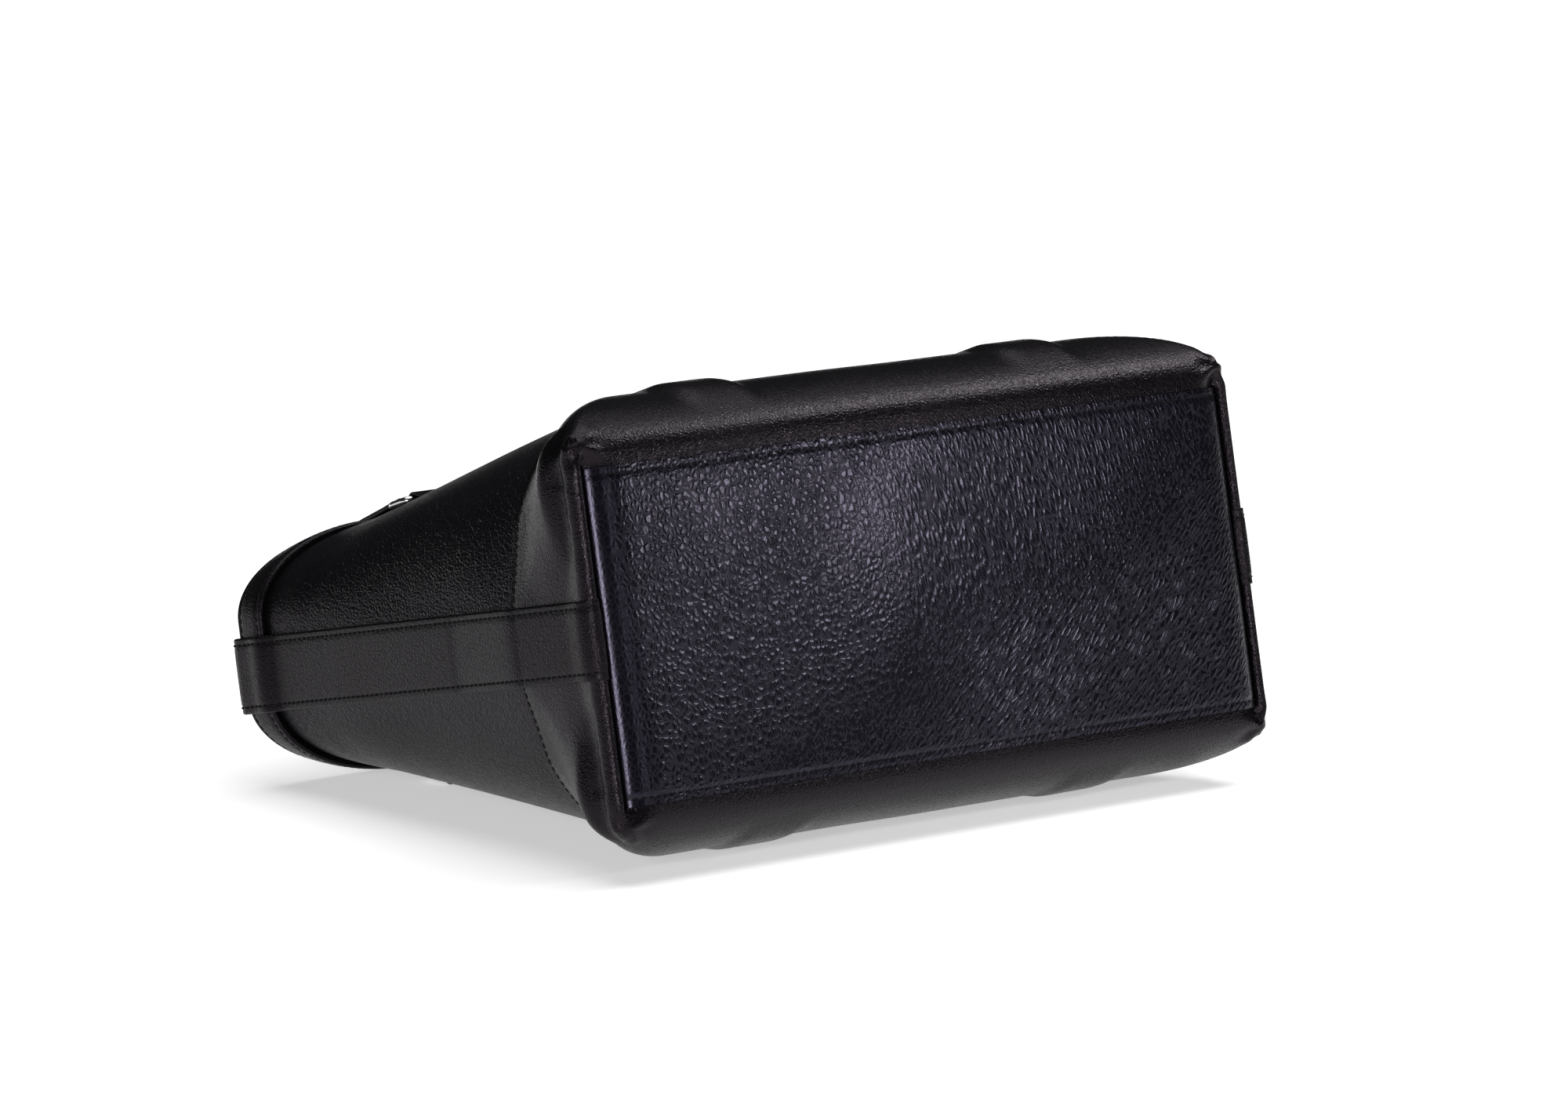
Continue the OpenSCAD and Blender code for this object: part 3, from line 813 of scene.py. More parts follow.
@dataclass(frozen=True)
class Cloth:
    """Twill lining cloth, woven on its UV map."""

    name: str
    tone: tuple[float, float, float]
    light: tuple[float, float, float]
    thread: float = 0.0007

    def make(self) -> bpy.types.Material:
        """Builds the material."""
        s = Shader(self.name)
        at = s.place(uv=True)
        per = 1 / self.thread
        warp, weft = (
            Sock(s, s.node("ShaderNodeTexWave", {"wave_type": "BANDS", "bands_direction": way}, {
                "Vector": at, "Scale": per / 6.28, "Distortion": 0.4, "Detail": 1.0, "Detail Scale": 2.0,
            }).outputs["Fac"])
            for way in ("DIAGONAL", "X")
        )
        weave = warp * 0.7 + weft * 0.3
        slub = s.noise(s.place((1, 6, 1), uv=True), 90, 3)
        s.bump(weave + slub * 0.3, 0.00018)
        shade = (weave * 0.5 + slub * 0.6).least(1.0)
        return s.set(
            Base_Color=s.blend(shade, self.tone, self.light),
            Roughness=0.86 - slub * 0.1,
            Sheen_Weight=0.25,
            Sheen_Roughness=0.4,
        )


@dataclass(frozen=True)
class Metal:
    """Plated or brushed metal with fine scratches."""

    name: str
    tone: tuple[float, float, float]
    gloss: float
    brushed: float

    def make(self) -> bpy.types.Material:
        """Builds the material."""
        s = Shader(self.name)
        lines = s.noise(s.place((0.05, 1, 1)), 2600, 2)
        rub = s.noise(s.place(), 60, 4)
        s.bump(lines, 0.00002, self.brushed)
        return s.set(
            Base_Color=s.blend(rub, self.tone, tuple(0.86 * c for c in self.tone)),
            Metallic=1.0,
            Roughness=self.gloss + rub * 0.12 + lines * 0.08,
        )


@dataclass(frozen=True)
class Board:
    """Pressed fibreboard."""

    name: str = "fibreboard"

    def make(self) -> bpy.types.Material:
        """Builds the material."""
        s = Shader(self.name)
        fibre = s.noise(s.place((1, 1, 0.25)), 900, 4)
        fleck = s.noise(s.place(), 160, 3)
        s.bump(fibre, 0.0001)
        return s.set(
            Base_Color=s.blend(fleck * 0.6 + fibre * 0.4, (0.30, 0.22, 0.13), (0.50, 0.40, 0.26)),
            Roughness=0.8 - fibre * 0.1,
        )


@dataclass(frozen=True)
class Cord:
    """Natural cord inside the handles."""

    name: str = "cord"

    def make(self) -> bpy.types.Material:
        """Builds the material."""
        s = Shader(self.name)
        lay = s.node("ShaderNodeTexWave", {"wave_type": "BANDS", "bands_direction": "DIAGONAL"}, {
            "Vector": s.place(), "Scale": 60.0, "Distortion": 0.6, "Detail": 2.0,
        })
        twist = Sock(s, lay.outputs["Fac"])
        hair = s.noise(s.place(), 1500, 3)
        s.bump(twist + hair * 0.2, 0.0006)
        return s.set(
            Base_Color=s.blend(twist * 0.7 + hair * 0.3, (0.36, 0.30, 0.20), (0.62, 0.55, 0.42)),
            Roughness=0.9 - hair * 0.1,
        )


class Finish(Enum):
    """Every finish on the bag."""

    BOTTOM = BottomLeather()
    WRAP = Leather(
        "base_leather", (0.0022, 0.0020, 0.0022), (0.0048, 0.0037, 0.0036),
        gloss=0.23, pebble=600, depth=0.00015, wrinkle=0.30, level=0.17,
    )
    BODY = Leather(
        "body_leather", (0.0028, 0.0026, 0.0031), (0.0052, 0.0046, 0.0048),
        gloss=0.28, pebble=520, depth=0.00024, stretch=(1, 0.75, 1), wrinkle=0.4, level=0.15,
    )
    TRIM = Leather(
        "trim_leather", (0.0032, 0.0029, 0.0031), (0.0062, 0.0052, 0.0050),
        gloss=0.29, pebble=560, depth=0.00018, wrinkle=0.25, level=0.14,
    )
    ROLL = Leather(
        "handle_leather", (0.0032, 0.0029, 0.0031), (0.0070, 0.0058, 0.0056),
        gloss=0.28, pebble=640, depth=0.00014, wrinkle=0.25,
    )
    SLEEVE = Leather(
        "sleeve_leather", (0.0035, 0.0032, 0.0034), (0.0062, 0.0055, 0.0055),
        gloss=0.42, pebble=820, depth=0.00008, wrinkle=0.14,
    )
    LINING = Cloth("lining_cloth", (0.060, 0.048, 0.038), (0.115, 0.095, 0.075))
    POCKET = Cloth("pocket_cloth", (0.070, 0.056, 0.044), (0.13, 0.108, 0.086))
    THREAD = Thread()
    NICKEL = Metal("nickel", (0.66, 0.66, 0.67), 0.14, 0.3)
    STEEL = Metal("steel", (0.46, 0.47, 0.48), 0.28, 0.8)
    BOARD = Board()
    CORD = Cord()


class Dresser:
    """Builds each finish once and hands it to pieces and solids."""

    def __init__(self) -> None:
        """Starts with no finish made."""
        self.made: dict[Finish, bpy.types.Material] = {}

    def wear(self, piece: bpy.types.Object, finish: Finish, slot: str | None = None) -> None:
        """Dresses a piece.

        Args:
            piece: The new piece, or a solid of the frame.
            finish: Its finish.
            slot: The record's material slot, for a new piece. Not used.
        """
        if finish not in self.made:
            self.made[finish] = finish.value.make()
        piece.data.materials.clear()
        piece.data.materials.append(self.made[finish])


DRESSER = Dresser()


def report(piece: bpy.types.Object, body: str, finish: Finish, slot: str, *stands_for: str) -> None:
    """Dresses a new piece, ties it to its body and logs it.

    Args:
        piece: The new piece.
        body: The body that it moves with.
        finish: Its finish.
        slot: The record's material slot, handed on to the dresser but not used.
        stands_for: The solids that it replaces.
    """
    DRESSER.wear(piece, finish, slot)
    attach(piece, body)
    if stands_for:
        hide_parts(*stands_for)
    log.info("%s on %s: %d faces", piece.name, body, len(piece.data.polygons))


# ---- Curves and surfaces ----


def graded(*stretches: tuple[float, float, int]) -> np.ndarray:
    """Joins stretches of (start, end, steps) into one list of places."""
    parts = [np.linspace(a, b, n + 1) for a, b, n in stretches]
    return np.concatenate([parts[0], *[part[1:] for part in parts[1:]]])


def resample(line: np.ndarray, places: np.ndarray) -> np.ndarray:
    """Points of a line at places from 0 to 1 of its length."""
    run = run_of(line)
    return on_line(line, run, places * run[-1])


def spline(points: Sequence[Sequence[float]], count: int) -> np.ndarray:
    """Smooth curve through points, with evenly spaced points of its own."""
    p = np.asarray(points, float)
    p = np.vstack([2 * p[0] - p[1], p, 2 * p[-1] - p[-2]])
    t = np.linspace(0, 1, 13)[:-1, None]
    pieces = [
        0.5 * (2 * b + (c - a) * t + (2 * a - 5 * b + 4 * c - d) * t**2 + (3 * b - a - 3 * c + d) * t**3)
        for a, b, c, d in zip(p, p[1:], p[2:], p[3:])
    ]
    return resample(np.vstack([*pieces, p[-2]]), np.linspace(0, 1, count))


def arc(
    centre: Sequence[float], radius: float, start: float, end: float, steps: int = 9,
) -> list[tuple[float, float]]:
    """Points on an arc, with its angles in degrees."""
    return [
        (centre[0] + radius * math.cos(t), centre[1] + radius * math.sin(t))
        for t in np.radians(np.linspace(start, end, steps))
    ]


def normals(points: np.ndarray, closed: bool = False) -> np.ndarray:
    """Directions away from the bag's middle at every point of a lattice of points."""
    down = np.gradient(points, axis=0)
    if closed:
        ring = np.concatenate([points[:, -2:-1], points, points[:, 1:2]], axis=1)
        round_ = np.gradient(ring, axis=1)[:, 1:-1]
    else:
        round_ = np.gradient(points, axis=1)
    out = np.cross(round_, down)
    out /= np.maximum(np.linalg.norm(out, axis=-1), 1e-9)[..., None]
    from_middle = points - np.array([0.0, 0.0, FORM.height / 2])
    if np.sum(out * from_middle) < 0:
        out = -out
    return out


def ripples(points: np.ndarray, height: float, length: float, seed: int) -> np.ndarray:
    """Soft unevenness of leather, from a few long waves.

    Args:
        points: Upright points.
        height: Greatest height of the ripples.
        length: Shortest wave length.
        seed: Choice of the waves.

    Returns:
        The height at every point.
    """
    chance = np.random.default_rng(seed)
    total = np.zeros(points.shape[:-1])
    for _ in range(7):
        way = unit(chance.normal(size=3))
        wave = length * chance.uniform(1.0, 2.2)
        total += np.sin(points @ way * 2 * math.pi / wave + chance.uniform(0, 6.28))
    return total * height / 7


def held_in(y: np.ndarray) -> np.ndarray:
    """How far the ends sink beside the strap that holds them."""
    depth, level, reach = HELD
    return -depth * (1 - np.exp(-np.maximum(np.abs(y) - level, 0) / reach))


def bell(x: np.ndarray | float, at: float, width: float) -> np.ndarray | float:
    """Soft bump of height 1 around a place."""
    return np.exp(-(((x - at) / width) ** 2))


def groove(x: np.ndarray | float, at: float, width: float, depth: float) -> np.ndarray | float:
    """Dip that a row of stitches pulls into the leather."""
    return -depth * bell(x, at, width)


# ---- The base ----


@dataclass(frozen=True)
class Slot:
    """The deep seam at each end, where the bottom panel and the end both roll in."""

    x: float = SEAM_X
    depth: float = 10.0
    panel_roll: float = 20.0
    end_roll: float = 8.5
    reach: float = 93.0
    fade: float = 15.0

    def sink(self, points: np.ndarray) -> np.ndarray:
        """How far the seam draws in each point of the base."""
        d = np.abs(points[..., 0]) - self.x
        t = np.clip(np.where(d < 0, -d / self.panel_roll, d / self.end_roll), 0, 1)
        roll = 1 - np.sqrt(np.clip(1 - (1 - t) ** 2, 0, 1))
        ends = 1 - ease((np.abs(points[..., 1]) - self.reach + self.fade) / self.fade)
        return self.depth * roll * ends

    def puckers(self, points: np.ndarray) -> np.ndarray:
        """Small folds that fan out from the seam's two ends."""
        dx = np.abs(points[..., 0]) - self.x
        dy = np.abs(points[..., 1]) - self.reach + 2
        angle, far = np.arctan2(dy, dx), np.hypot(dx, dy)
        fan = np.cos(angle * 5 + 0.6) * bell(far, 8, 6)
        return 0.75 * fan * (np.abs(points[..., 1]) > 70)


SLOT = Slot()


@dataclass(frozen=True)
class BottomPanel:
    """Heavy leather on the bag's underside, lapped and sewn over the wrap on both long sides."""

    half_l: float = SEAM_X - 0.15
    half_w: float = FORM.bottom_w / 2
    thick: float = 1.8
    stitch_in: float = 3.5

    def surface(self) -> np.ndarray:
        """Points of the panel's outer face, in rows along its length."""
        x = graded(
            (-self.half_l, -188, 16), (-188, -172, 12), (-172, 172, 86), (172, 188, 12),
            (188, self.half_l, 16),
        )
        lap = self.half_w - self.stitch_in
        y = graded(
            (-self.half_w, -lap, 5), (-lap, -lap + 4, 4), (-lap + 4, lap - 4, 44), (lap - 4, lap, 4),
            (lap, self.half_w, 5),
        )
        gx, gy = np.meshgrid(x, y)
        flat = np.stack([gx, gy, np.zeros_like(gx)], axis=-1)
        z = SLOT.sink(flat) + ripples(flat, 0.5, 70, 3) - 0.5 * (1 - (gy / self.half_w) ** 2)
        z -= groove(np.abs(gy), lap, 1.6, 0.45)
        z += 0.5 * ease((np.abs(gy) - lap) / self.stitch_in)
        flat[..., 2] = z
        return flat

    def build(self) -> None:
        """Makes the panel and sews its two laps."""
        points = self.surface()
        piece = Bench.sheet("bottom_panel_leather", points, self.thick, np.array([0, 0, -1.0]), False)
        report(piece, "bag", Finish.BOTTOM, "bottom_leather", "bottom_panel")
        out = normals(points)
        for row in (5, len(points) - 6):
            STITCHES.sew("thread_bottom", points[row] + out[row] * 0.05, out[row])


@dataclass(frozen=True)
class BaseWrap:
    """Smooth leather that wraps the base: rolled into the seam at the ends, raised over the straps."""

    top: float = FORM.wrap_h
    hem_x: float = 188.0
    hem_y: float = 66.0
    hem_z: float = 2.2
    thick: float = WRAP_T
    ridge_slope: float = 13.0
    stitch_in: float = 3.5
    fold_rise: float = 3.8
    fold_z: float = 30.0
    valley_depth: float = 2.2
    valley_z: float = 18.0
    crimp_rise: float = 0.32
    crimp_pitch: float = 12.5

    def end_line(self) -> np.ndarray:
        """Middle of the end, from the hem over the roll and up, as points [x, z]."""
        return spline([
            (self.hem_x, self.hem_z), (196, self.hem_z), (SEAM_X, 1.9), (201.4, 1.3), (203.2, 2.4),
            (205.1, 4.8), (206.6, 8.4), (206.9, 12.5), (205.6, 17.5), (204.4, 23), (204.2, 31),
            (204.1, 40), (204, 50), (203.9, 62), (203.7, self.top),
        ], 300)

    def face_line(self, side: int) -> np.ndarray:
        """Middle of a face, from the hem around the base and up, as points [y, z]."""
        z = np.concatenate([np.linspace(0.02, 1, 40) ** 1.6 * 50, np.linspace(50, self.top, 12)[1:]])
        y = FORM.depth(side, z)
        soft = z + self.hem_z * np.exp(-z / 2.6)
        curve = np.column_stack([y, soft])
        hem = np.column_stack([np.linspace(self.hem_y, y[0], 12)[:-1], np.full(11, self.hem_z)])
        return np.vstack([hem, curve])

    def columns(self) -> np.ndarray:
        """Places around a quarter of the wrap, close together at the corner."""
        return graded((0, 0.72, 15), (0.72, 1.10, 34), (1.10, 2, 64))

    def surface(self) -> np.ndarray:
        """Points of the wrap's outer face, in rows from the hem to the upper edge."""
        places = graded((0, 0.08, 3), (0.08, 0.16, 11), (0.16, 0.36, 22), (0.36, 0.95, 22), (0.95, 1, 4))
        end = resample(self.end_line(), places)
        front = resample(self.face_line(FRONT), places)
        back = resample(self.face_line(BACK), places)
        rows = []
        for (ex, ez), (fy, fz), (by, bz) in zip(end, front, back):
            corners = [
                tuple(
                    max(float(c) - max(FORM.bottom_w / 2 - y, 0) * 0.4, 2.0)
                    for c in FORM.corner(side, (ez + z) / 2)
                )
                for side, y, z in ((FRONT, fy, fz), (BACK, by, bz))
            ]
            rows.append(Level(ex, ez, fy, fz, by, bz, *corners).points(self.columns()))
        points = np.array(rows)
        return self._shape(points)

    def _shape(self, points: np.ndarray) -> np.ndarray:
        """Adds the seam, the puckers, the second fold and the ridges over the straps."""
        low = 1 - ease((points[..., 2] - 9) / 5)
        x, y, z = points[..., 0], points[..., 1], points[..., 2]
        out = normals(points, closed=True)
        on_end = ease((np.abs(x) - 192) / 10)
        fold = self.fold_rise * bell(z, self.fold_z, 7.5) * ease((np.abs(y) - 36) / 36)
        fold = fold - self.valley_depth * bell(z, self.valley_z, 4.5) * ease((np.abs(y) - 22) / 30)
        crimp = np.sin(y * 2 * math.pi / self.crimp_pitch + 1.4 * np.sin(y / 9)) * bell(z, 17, 7)
        strap = 1 - ease((np.abs(np.abs(x) - LEG_X) - LEG_W / 2 + 3) / self.ridge_slope)
        ridge = RIDGE * strap * ease((z - 8) / 22) * np.where(y < 0, 1.0, 0.6) * (np.abs(y) > 60)
        held = held_in(y) * ease((z - 34) / 26)
        lift = on_end * (fold + held + self.crimp_rise * crimp * ease((np.abs(y) - 22) / 14)) + ridge
        lift = lift + SLOT.puckers(points) * low + ripples(points, 0.45, 60, 11) * ease(z / 20)
        lift = lift + groove(z, self.top - self.stitch_in, 1.5, 0.35)
        shaped = points + out * lift[..., None]
        shaped[..., 2] += SLOT.sink(points) * low
        return shaped

    def build(self) -> None:
        """Makes the wrap and sews its upper edge."""
        points = self.surface()
        piece = Bench.sheet("base_wrap_leather", points, self.thick, np.array([1.0, 0, 0]), True)
        Bench.outwards(piece)
        report(piece, "bag", Finish.WRAP, "base_leather", "front_base_wrap", "back_base_wrap")
        height = points[..., 2].mean(axis=1)
        row = int(np.argmin(np.abs(height - (self.top - self.stitch_in))))
        out = normals(points, closed=True)[row]
        STITCHES.sew("thread_wrap", points[row] + out * 0.05, out)


# ---- The walls ----


@dataclass(frozen=True)
class Wall:
    """Body leather and lining, which sag softly together between the base and the rim."""

    low: float = 61.0
    high: float = 308.7
    floor: float = 5.0

    def sag(self, points: np.ndarray) -> np.ndarray:
        """How far the soft wall stands out from its plain form."""
        x, y, z = points[..., 0], points[..., 1], points[..., 2]
        free = ease((z - 76) / 40) * (1 - ease((z - 262) / 24))
        strap = 1 - ease((np.abs(np.abs(x) - LEG_X) - 17) / 14)
        near_strap = np.where(np.abs(x) < 140, strap, 0)
        end = ease((np.abs(x) - 120) / 60)
        under_end_strap = 1 - ease((np.abs(y) - 17) / 12)
        free = free * (1 - near_strap) * (1 - end * under_end_strap)
        held = held_in(y) * end * (1 - ease((z - 250) / 34))
        broad = ripples(points * np.array([1, 1, 0.6]), 1.5, 55, 23)
        hollow = -1.2 * end * bell(z, 185, 60) * bell(np.abs(y), 48, 30)
        return free * (broad + hollow) + held * ease((z - 60) / 16)

    def surface(self, off: float, low: float, rows: int, columns: np.ndarray) -> np.ndarray:
        """Points of one layer of the wall.

        Args:
            off: Distance from the base wrap's outside.
            low: Height of its lower edge.
            rows: Steps up the wall.
            columns: Places around a quarter of it.

        Returns:
            Points in rows from the bottom to the top.
        """
        heights = np.linspace(low, self.high, rows + 1)
        points = np.array([plain_level(z, off).points(columns) for z in heights])
        out = normals(points, closed=True)
        return points + out * self.sag(points)[..., None]

    def build(self) -> None:
        """Makes the body leather and the lining behind it."""
        fine = graded((0, 1, 34), (1, 2, 50))
        leather = Bench.sheet(
            "body_leather", self.surface(BODY_OUT, self.low, 84, fine), BODY_T,
            np.array([1.0, 0, 0]), True,
        )
        Bench.outwards(leather)
        report(leather, "bag", Finish.BODY, "body_leather", "front_body_panel", "back_body_panel")
        points = self.surface(LINING_OUT, self.floor, 50, graded((0, 1, 20), (1, 2, 30)))
        at_end = ease((np.abs(points[..., 0]) - 182) / 8)
        points[..., 2] += 11 * at_end * (1 - ease((points[..., 2] - self.floor) / 40))
        run = (2 * (FORM.mouth_l + 2 * FORM.mouth[0]) / 1000, self.high / 1000)
        lining = Bench.sheet("wall_lining", points, LINING_T, np.array([1.0, 0, 0]), True, run)
        Bench.outwards(lining)
        report(lining, "bag", Finish.LINING, "lining_cloth", "front_lining", "back_lining")


@dataclass(frozen=True)
class RimBand:
    """Stiff band sewn around the mouth, with a lip turned in over the wall."""

    foot: float = BAND_FOOT
    top: float = FORM.height
    stitch_low: float = 293.6
    stitch_high: float = 308.2
    inner: float = -5.2

    def profile(self) -> list[tuple[float, float]]:
        """Section of the band as [distance out, height], with rounded edges."""
        out, foot, top = BAND_OUT, self.foot, self.top
        low, high = self.stitch_low, self.stitch_high
        face = [
            (out + 0.5 * math.sin(math.pi * (z - foot) / (top - foot)) + groove(z, low, 1.2, 0.5)
             + groove(z, high, 1.2, 0.5), z)
            for z in graded((foot + 2.2, low, 2), (low, high, 12), (high, top - 2.4, 2))
        ]
        low_edge = arc((out - 2.0, foot + 1.9), 2.0, -80, -12, 6)
        high_edge = arc((out - 2.6, top - 2.6), 2.7, 8, 85, 7)
        lip = [(z, top + 0.05) for z in (-1.5, -2.8)] + arc((self.inner + 1.5, top - 1.5), 1.5, 90, 270, 8)
        inside = [(-1.8, top - 3.1), (-1.8, top - 8), (-1.8, foot + 0.8)]
        return low_edge + face + high_edge + lip + inside

    def build(self) -> None:
        """Makes the band and its two rows of stitches."""
        columns = graded((0, 1, 30), (1, 2, 56))
        profile = self.profile()
        points = np.array([plain_level(z, off).points(columns) for off, z in [*profile, profile[0]]])
        out = normals(points, closed=True)
        outer = np.array([off > 0 for off, _ in [*profile, profile[0]]])
        points += out * (ripples(points, 0.35, 50, 31) * outer[:, None])[..., None]
        piece = Bench.lattice("rim_band_leather", points, (1.0, 0.05))
        Bench.weld(piece)
        Bench.outwards(piece)
        Bench.smooth(piece)
        report(piece, "bag", Finish.TRIM, "trim_leather", "front_rim_band", "back_rim_band")
        for height in (self.stitch_low, self.stitch_high):
            row = min(
                (i for i, (off, _) in enumerate(profile) if off > 0.8),
                key=lambda i: abs(profile[i][1] - height),
            )
            STITCHES.sew("thread_rim", points[row] + out[row] * 0.12, out[row])


# ---- Straps ----


def strap_section(width: float, low: float, high: float, edge: float, stitch_in: float) -> np.ndarray:
    """Section of a sewn strap, crowned between its two rows of stitches.

    Args:
        width: Width of the strap.
        low: Height of its underside.
        high: Height of its upper side.
        edge: Radius of its edges.
        stitch_in: Distance from each edge to the stitches.

    Returns:
        Points [across, up] around the section.
    """
    half = width / 2
    lane = half - stitch_in
    across = graded(
        (-half + edge, -lane, 2), (-lane, -lane + 3, 4), (-lane + 3, lane - 3, 6), (lane - 3, lane, 4),
        (lane, half - edge, 2),
    )
    top = [
        (x, high + 0.35 * (1 - (x / half) ** 4) + groove(abs(x), lane, 1.4, 0.35)) for x in across
    ]
    turn = np.radians(np.linspace(70, -60, 6))
    right = [(half - edge + edge * math.cos(t), high - edge + edge * math.sin(t)) for t in turn]
    under = [(x, low) for x in np.linspace(half - edge * 0.6, -half + edge * 0.6, 6)]
    left = [(-x, y) for x, y in right[::-1]]
    return np.array(top + right + under + left)


@dataclass(frozen=True)
class EndStrap:
    """Strap from the bottom seam up the middle of an end, over the rim and down inside."""

    side: int
    width: float = 38.0
    thick: float = 2.8
    clear: float = 0.25
    stitch_in: float = 3.5
    tail_z: float = 278.0

    def line(self) -> np.ndarray:
        """Underside of the strap in the end's middle, as points [x, z]."""
        wrap = resample(BaseWrap().end_line(), np.linspace(0.105, 1, 70))
        flat = np.column_stack([wrap[:, 0], np.zeros(len(wrap)), wrap[:, 1]])
        drawn = SLOT.sink(flat) * (1 - ease((wrap[:, 1] - 9) / 5))
        wrap = wrap + np.column_stack([np.zeros(len(wrap)), drawn])
        wrap = wrap[wrap[:, 1] < FORM.wrap_h - 8]
        wrap = wrap[(wrap[:, 0] > SEAM_X + 0.4) | (wrap[:, 1] > 20)]
        end_x = lambda z: float(FORM.length(np.array(z)))
        wall = [(203.9, 75)] + [(end_x(z) + BODY_OUT, z) for z in np.linspace(116, 282, 17)]
        rim_x, inner_x = end_x(FORM.height) + BAND_OUT, end_x(FORM.height) - 5.5
        over = [(end_x(BAND_FOOT) + BAND_OUT + 0.4, 291), (rim_x + 0.6, 300), (rim_x + 0.4, 309)]
        over += arc((rim_x - 2.4, FORM.height - 2.6), 2.9, 20, 80, 4)
        over += [(rim_x - 4, FORM.height + 0.35)]
        over += arc((inner_x + 1.8, FORM.height - 1.6), 2.0, 95, 175, 4)
        over += [(inner_x, z) for z in (306, 298, 288, self.tail_z)]
        return np.vstack([wrap, wall, over])

    def build(self) -> None:
        """Makes the strap and its two rows of stitches."""
        line = resample(spline(self.line(), 420), np.linspace(0, 1, 230))
        slope = unit(np.gradient(line, axis=0))
        out = np.column_stack([slope[:, 1], -slope[:, 0]])
        line = line + out * self.clear
        path = np.column_stack([self.side * line[:, 0], np.zeros(len(line)), line[:, 1]])
        up = np.column_stack([self.side * out[:, 0], np.zeros(len(line)), out[:, 1]])
        name = "right" if self.side > 0 else "left"
        tall = mix(0.5, self.thick, ease(np.linspace(0, 1, len(path)) / 0.075))

        def section(t: float) -> np.ndarray:
            """Section of the strap, which thins where it enters the seam."""
            thick = float(np.interp(t, np.linspace(0, 1, len(tall)), tall))
            return strap_section(self.width, 0, thick, min(1.2, thick / 2.4), self.stitch_in)

        piece = sweep(f"{name}_end_strap_leather", path, up, section)
        report(piece, "bag", Finish.TRIM, "trim_leather", f"{name}_end_strap")
        across, up = rails(path, up)
        keep = slice(4, len(path) - 4)
        for way in (-1, 1):
            row = path + across * way * (self.width / 2 - self.stitch_in) + up * (tall + 0.05)[:, None]
            STITCHES.sew("thread_end_straps", row[keep], up[keep])


@dataclass(frozen=True)
class LegStrap:
    """Strap on a face that carries one leg of a handle, with a loop around the ring's bar."""

    side: int
    x: float
    bar_off: float
    width: float = LEG_W
    low: float = 34.0
    under: float = -1.8
    thick: float = 2.8
    loop_t: float = 1.4
    wire: float = 2.3
    stitch_in: float = 3.5

    def on_face(self, off: np.ndarray, z: np.ndarray) -> np.ndarray:
        """Points at a distance from the face at a height, in the strap's middle."""
        y = self.side * (FORM.depth(self.side, z) + off)
        return np.column_stack([np.full(len(z), self.x), y, z])

    def build(self) -> None:
        """Makes the strap with its loop, and sews its edges."""
        face = "front" if self.side == FRONT else "back"
        name = f"{face}_{'left' if self.x < 0 else 'right'}_leg_strap"
        z = np.linspace(self.low, RING_Z - 4.5, 70)
        path = self.on_face(np.full(len(z), self.under), z)
        up = np.tile([0.0, float(self.side), 0.0], (len(z), 1))
        section = strap_section(self.width, 0, self.thick, 1.2, self.stitch_in)
        piece = sweep(f"{name}_leather", path, up, lambda t: section)
        mid = self.wire + self.loop_t / 2
        turn = arc((self.bar_off, RING_Z), mid, -25, 205, 25)
        loop = spline([(0.35, 240), (0.6, 248), (3.6, 254.4), *turn, (-0.95, 252), (-0.9, 244)], 60)
        path_loop = self.on_face(loop[:, 0], loop[:, 1])
        bend = np.gradient(path_loop, axis=0)
        outward = np.cross(bend, [1.0, 0, 0]) * self.side
        ply = slab(self.width - 0.6, -self.loop_t / 2, self.loop_t / 2, 0.5)
        loop_piece = sweep(f"{name}_loop", path_loop, outward, lambda t: ply)
        Bench.only(piece)
        loop_piece.select_set(True)
        bpy.ops.object.join()
        Bench.smooth(piece)
        report(piece, "bag", Finish.TRIM, "trim_leather", name)
        across, up = rails(path, up)
        for way in (-1, 1):
            row = path + across * way * (self.width / 2 - self.stitch_in) + up * (self.thick - 0.1)
            shown = (z > FORM.wrap_h + 3) & (z < RING_Z - 7)
            STITCHES.sew(f"thread_{face}_straps", row[shown], up[shown])
        for height in (RING_Z - 17, RING_Z - 8):
            at = int(np.argmin(np.abs(z - height)))
            span = np.outer(np.linspace(-0.36, 0.36, 9) * self.width, [1.0, 0, 0])
            bar = path[at] + span + up[at] * self.thick
            STITCHES.sew(f"thread_{face}_straps", bar, np.tile(up[at], (9, 1)))


# ---- Handles ----


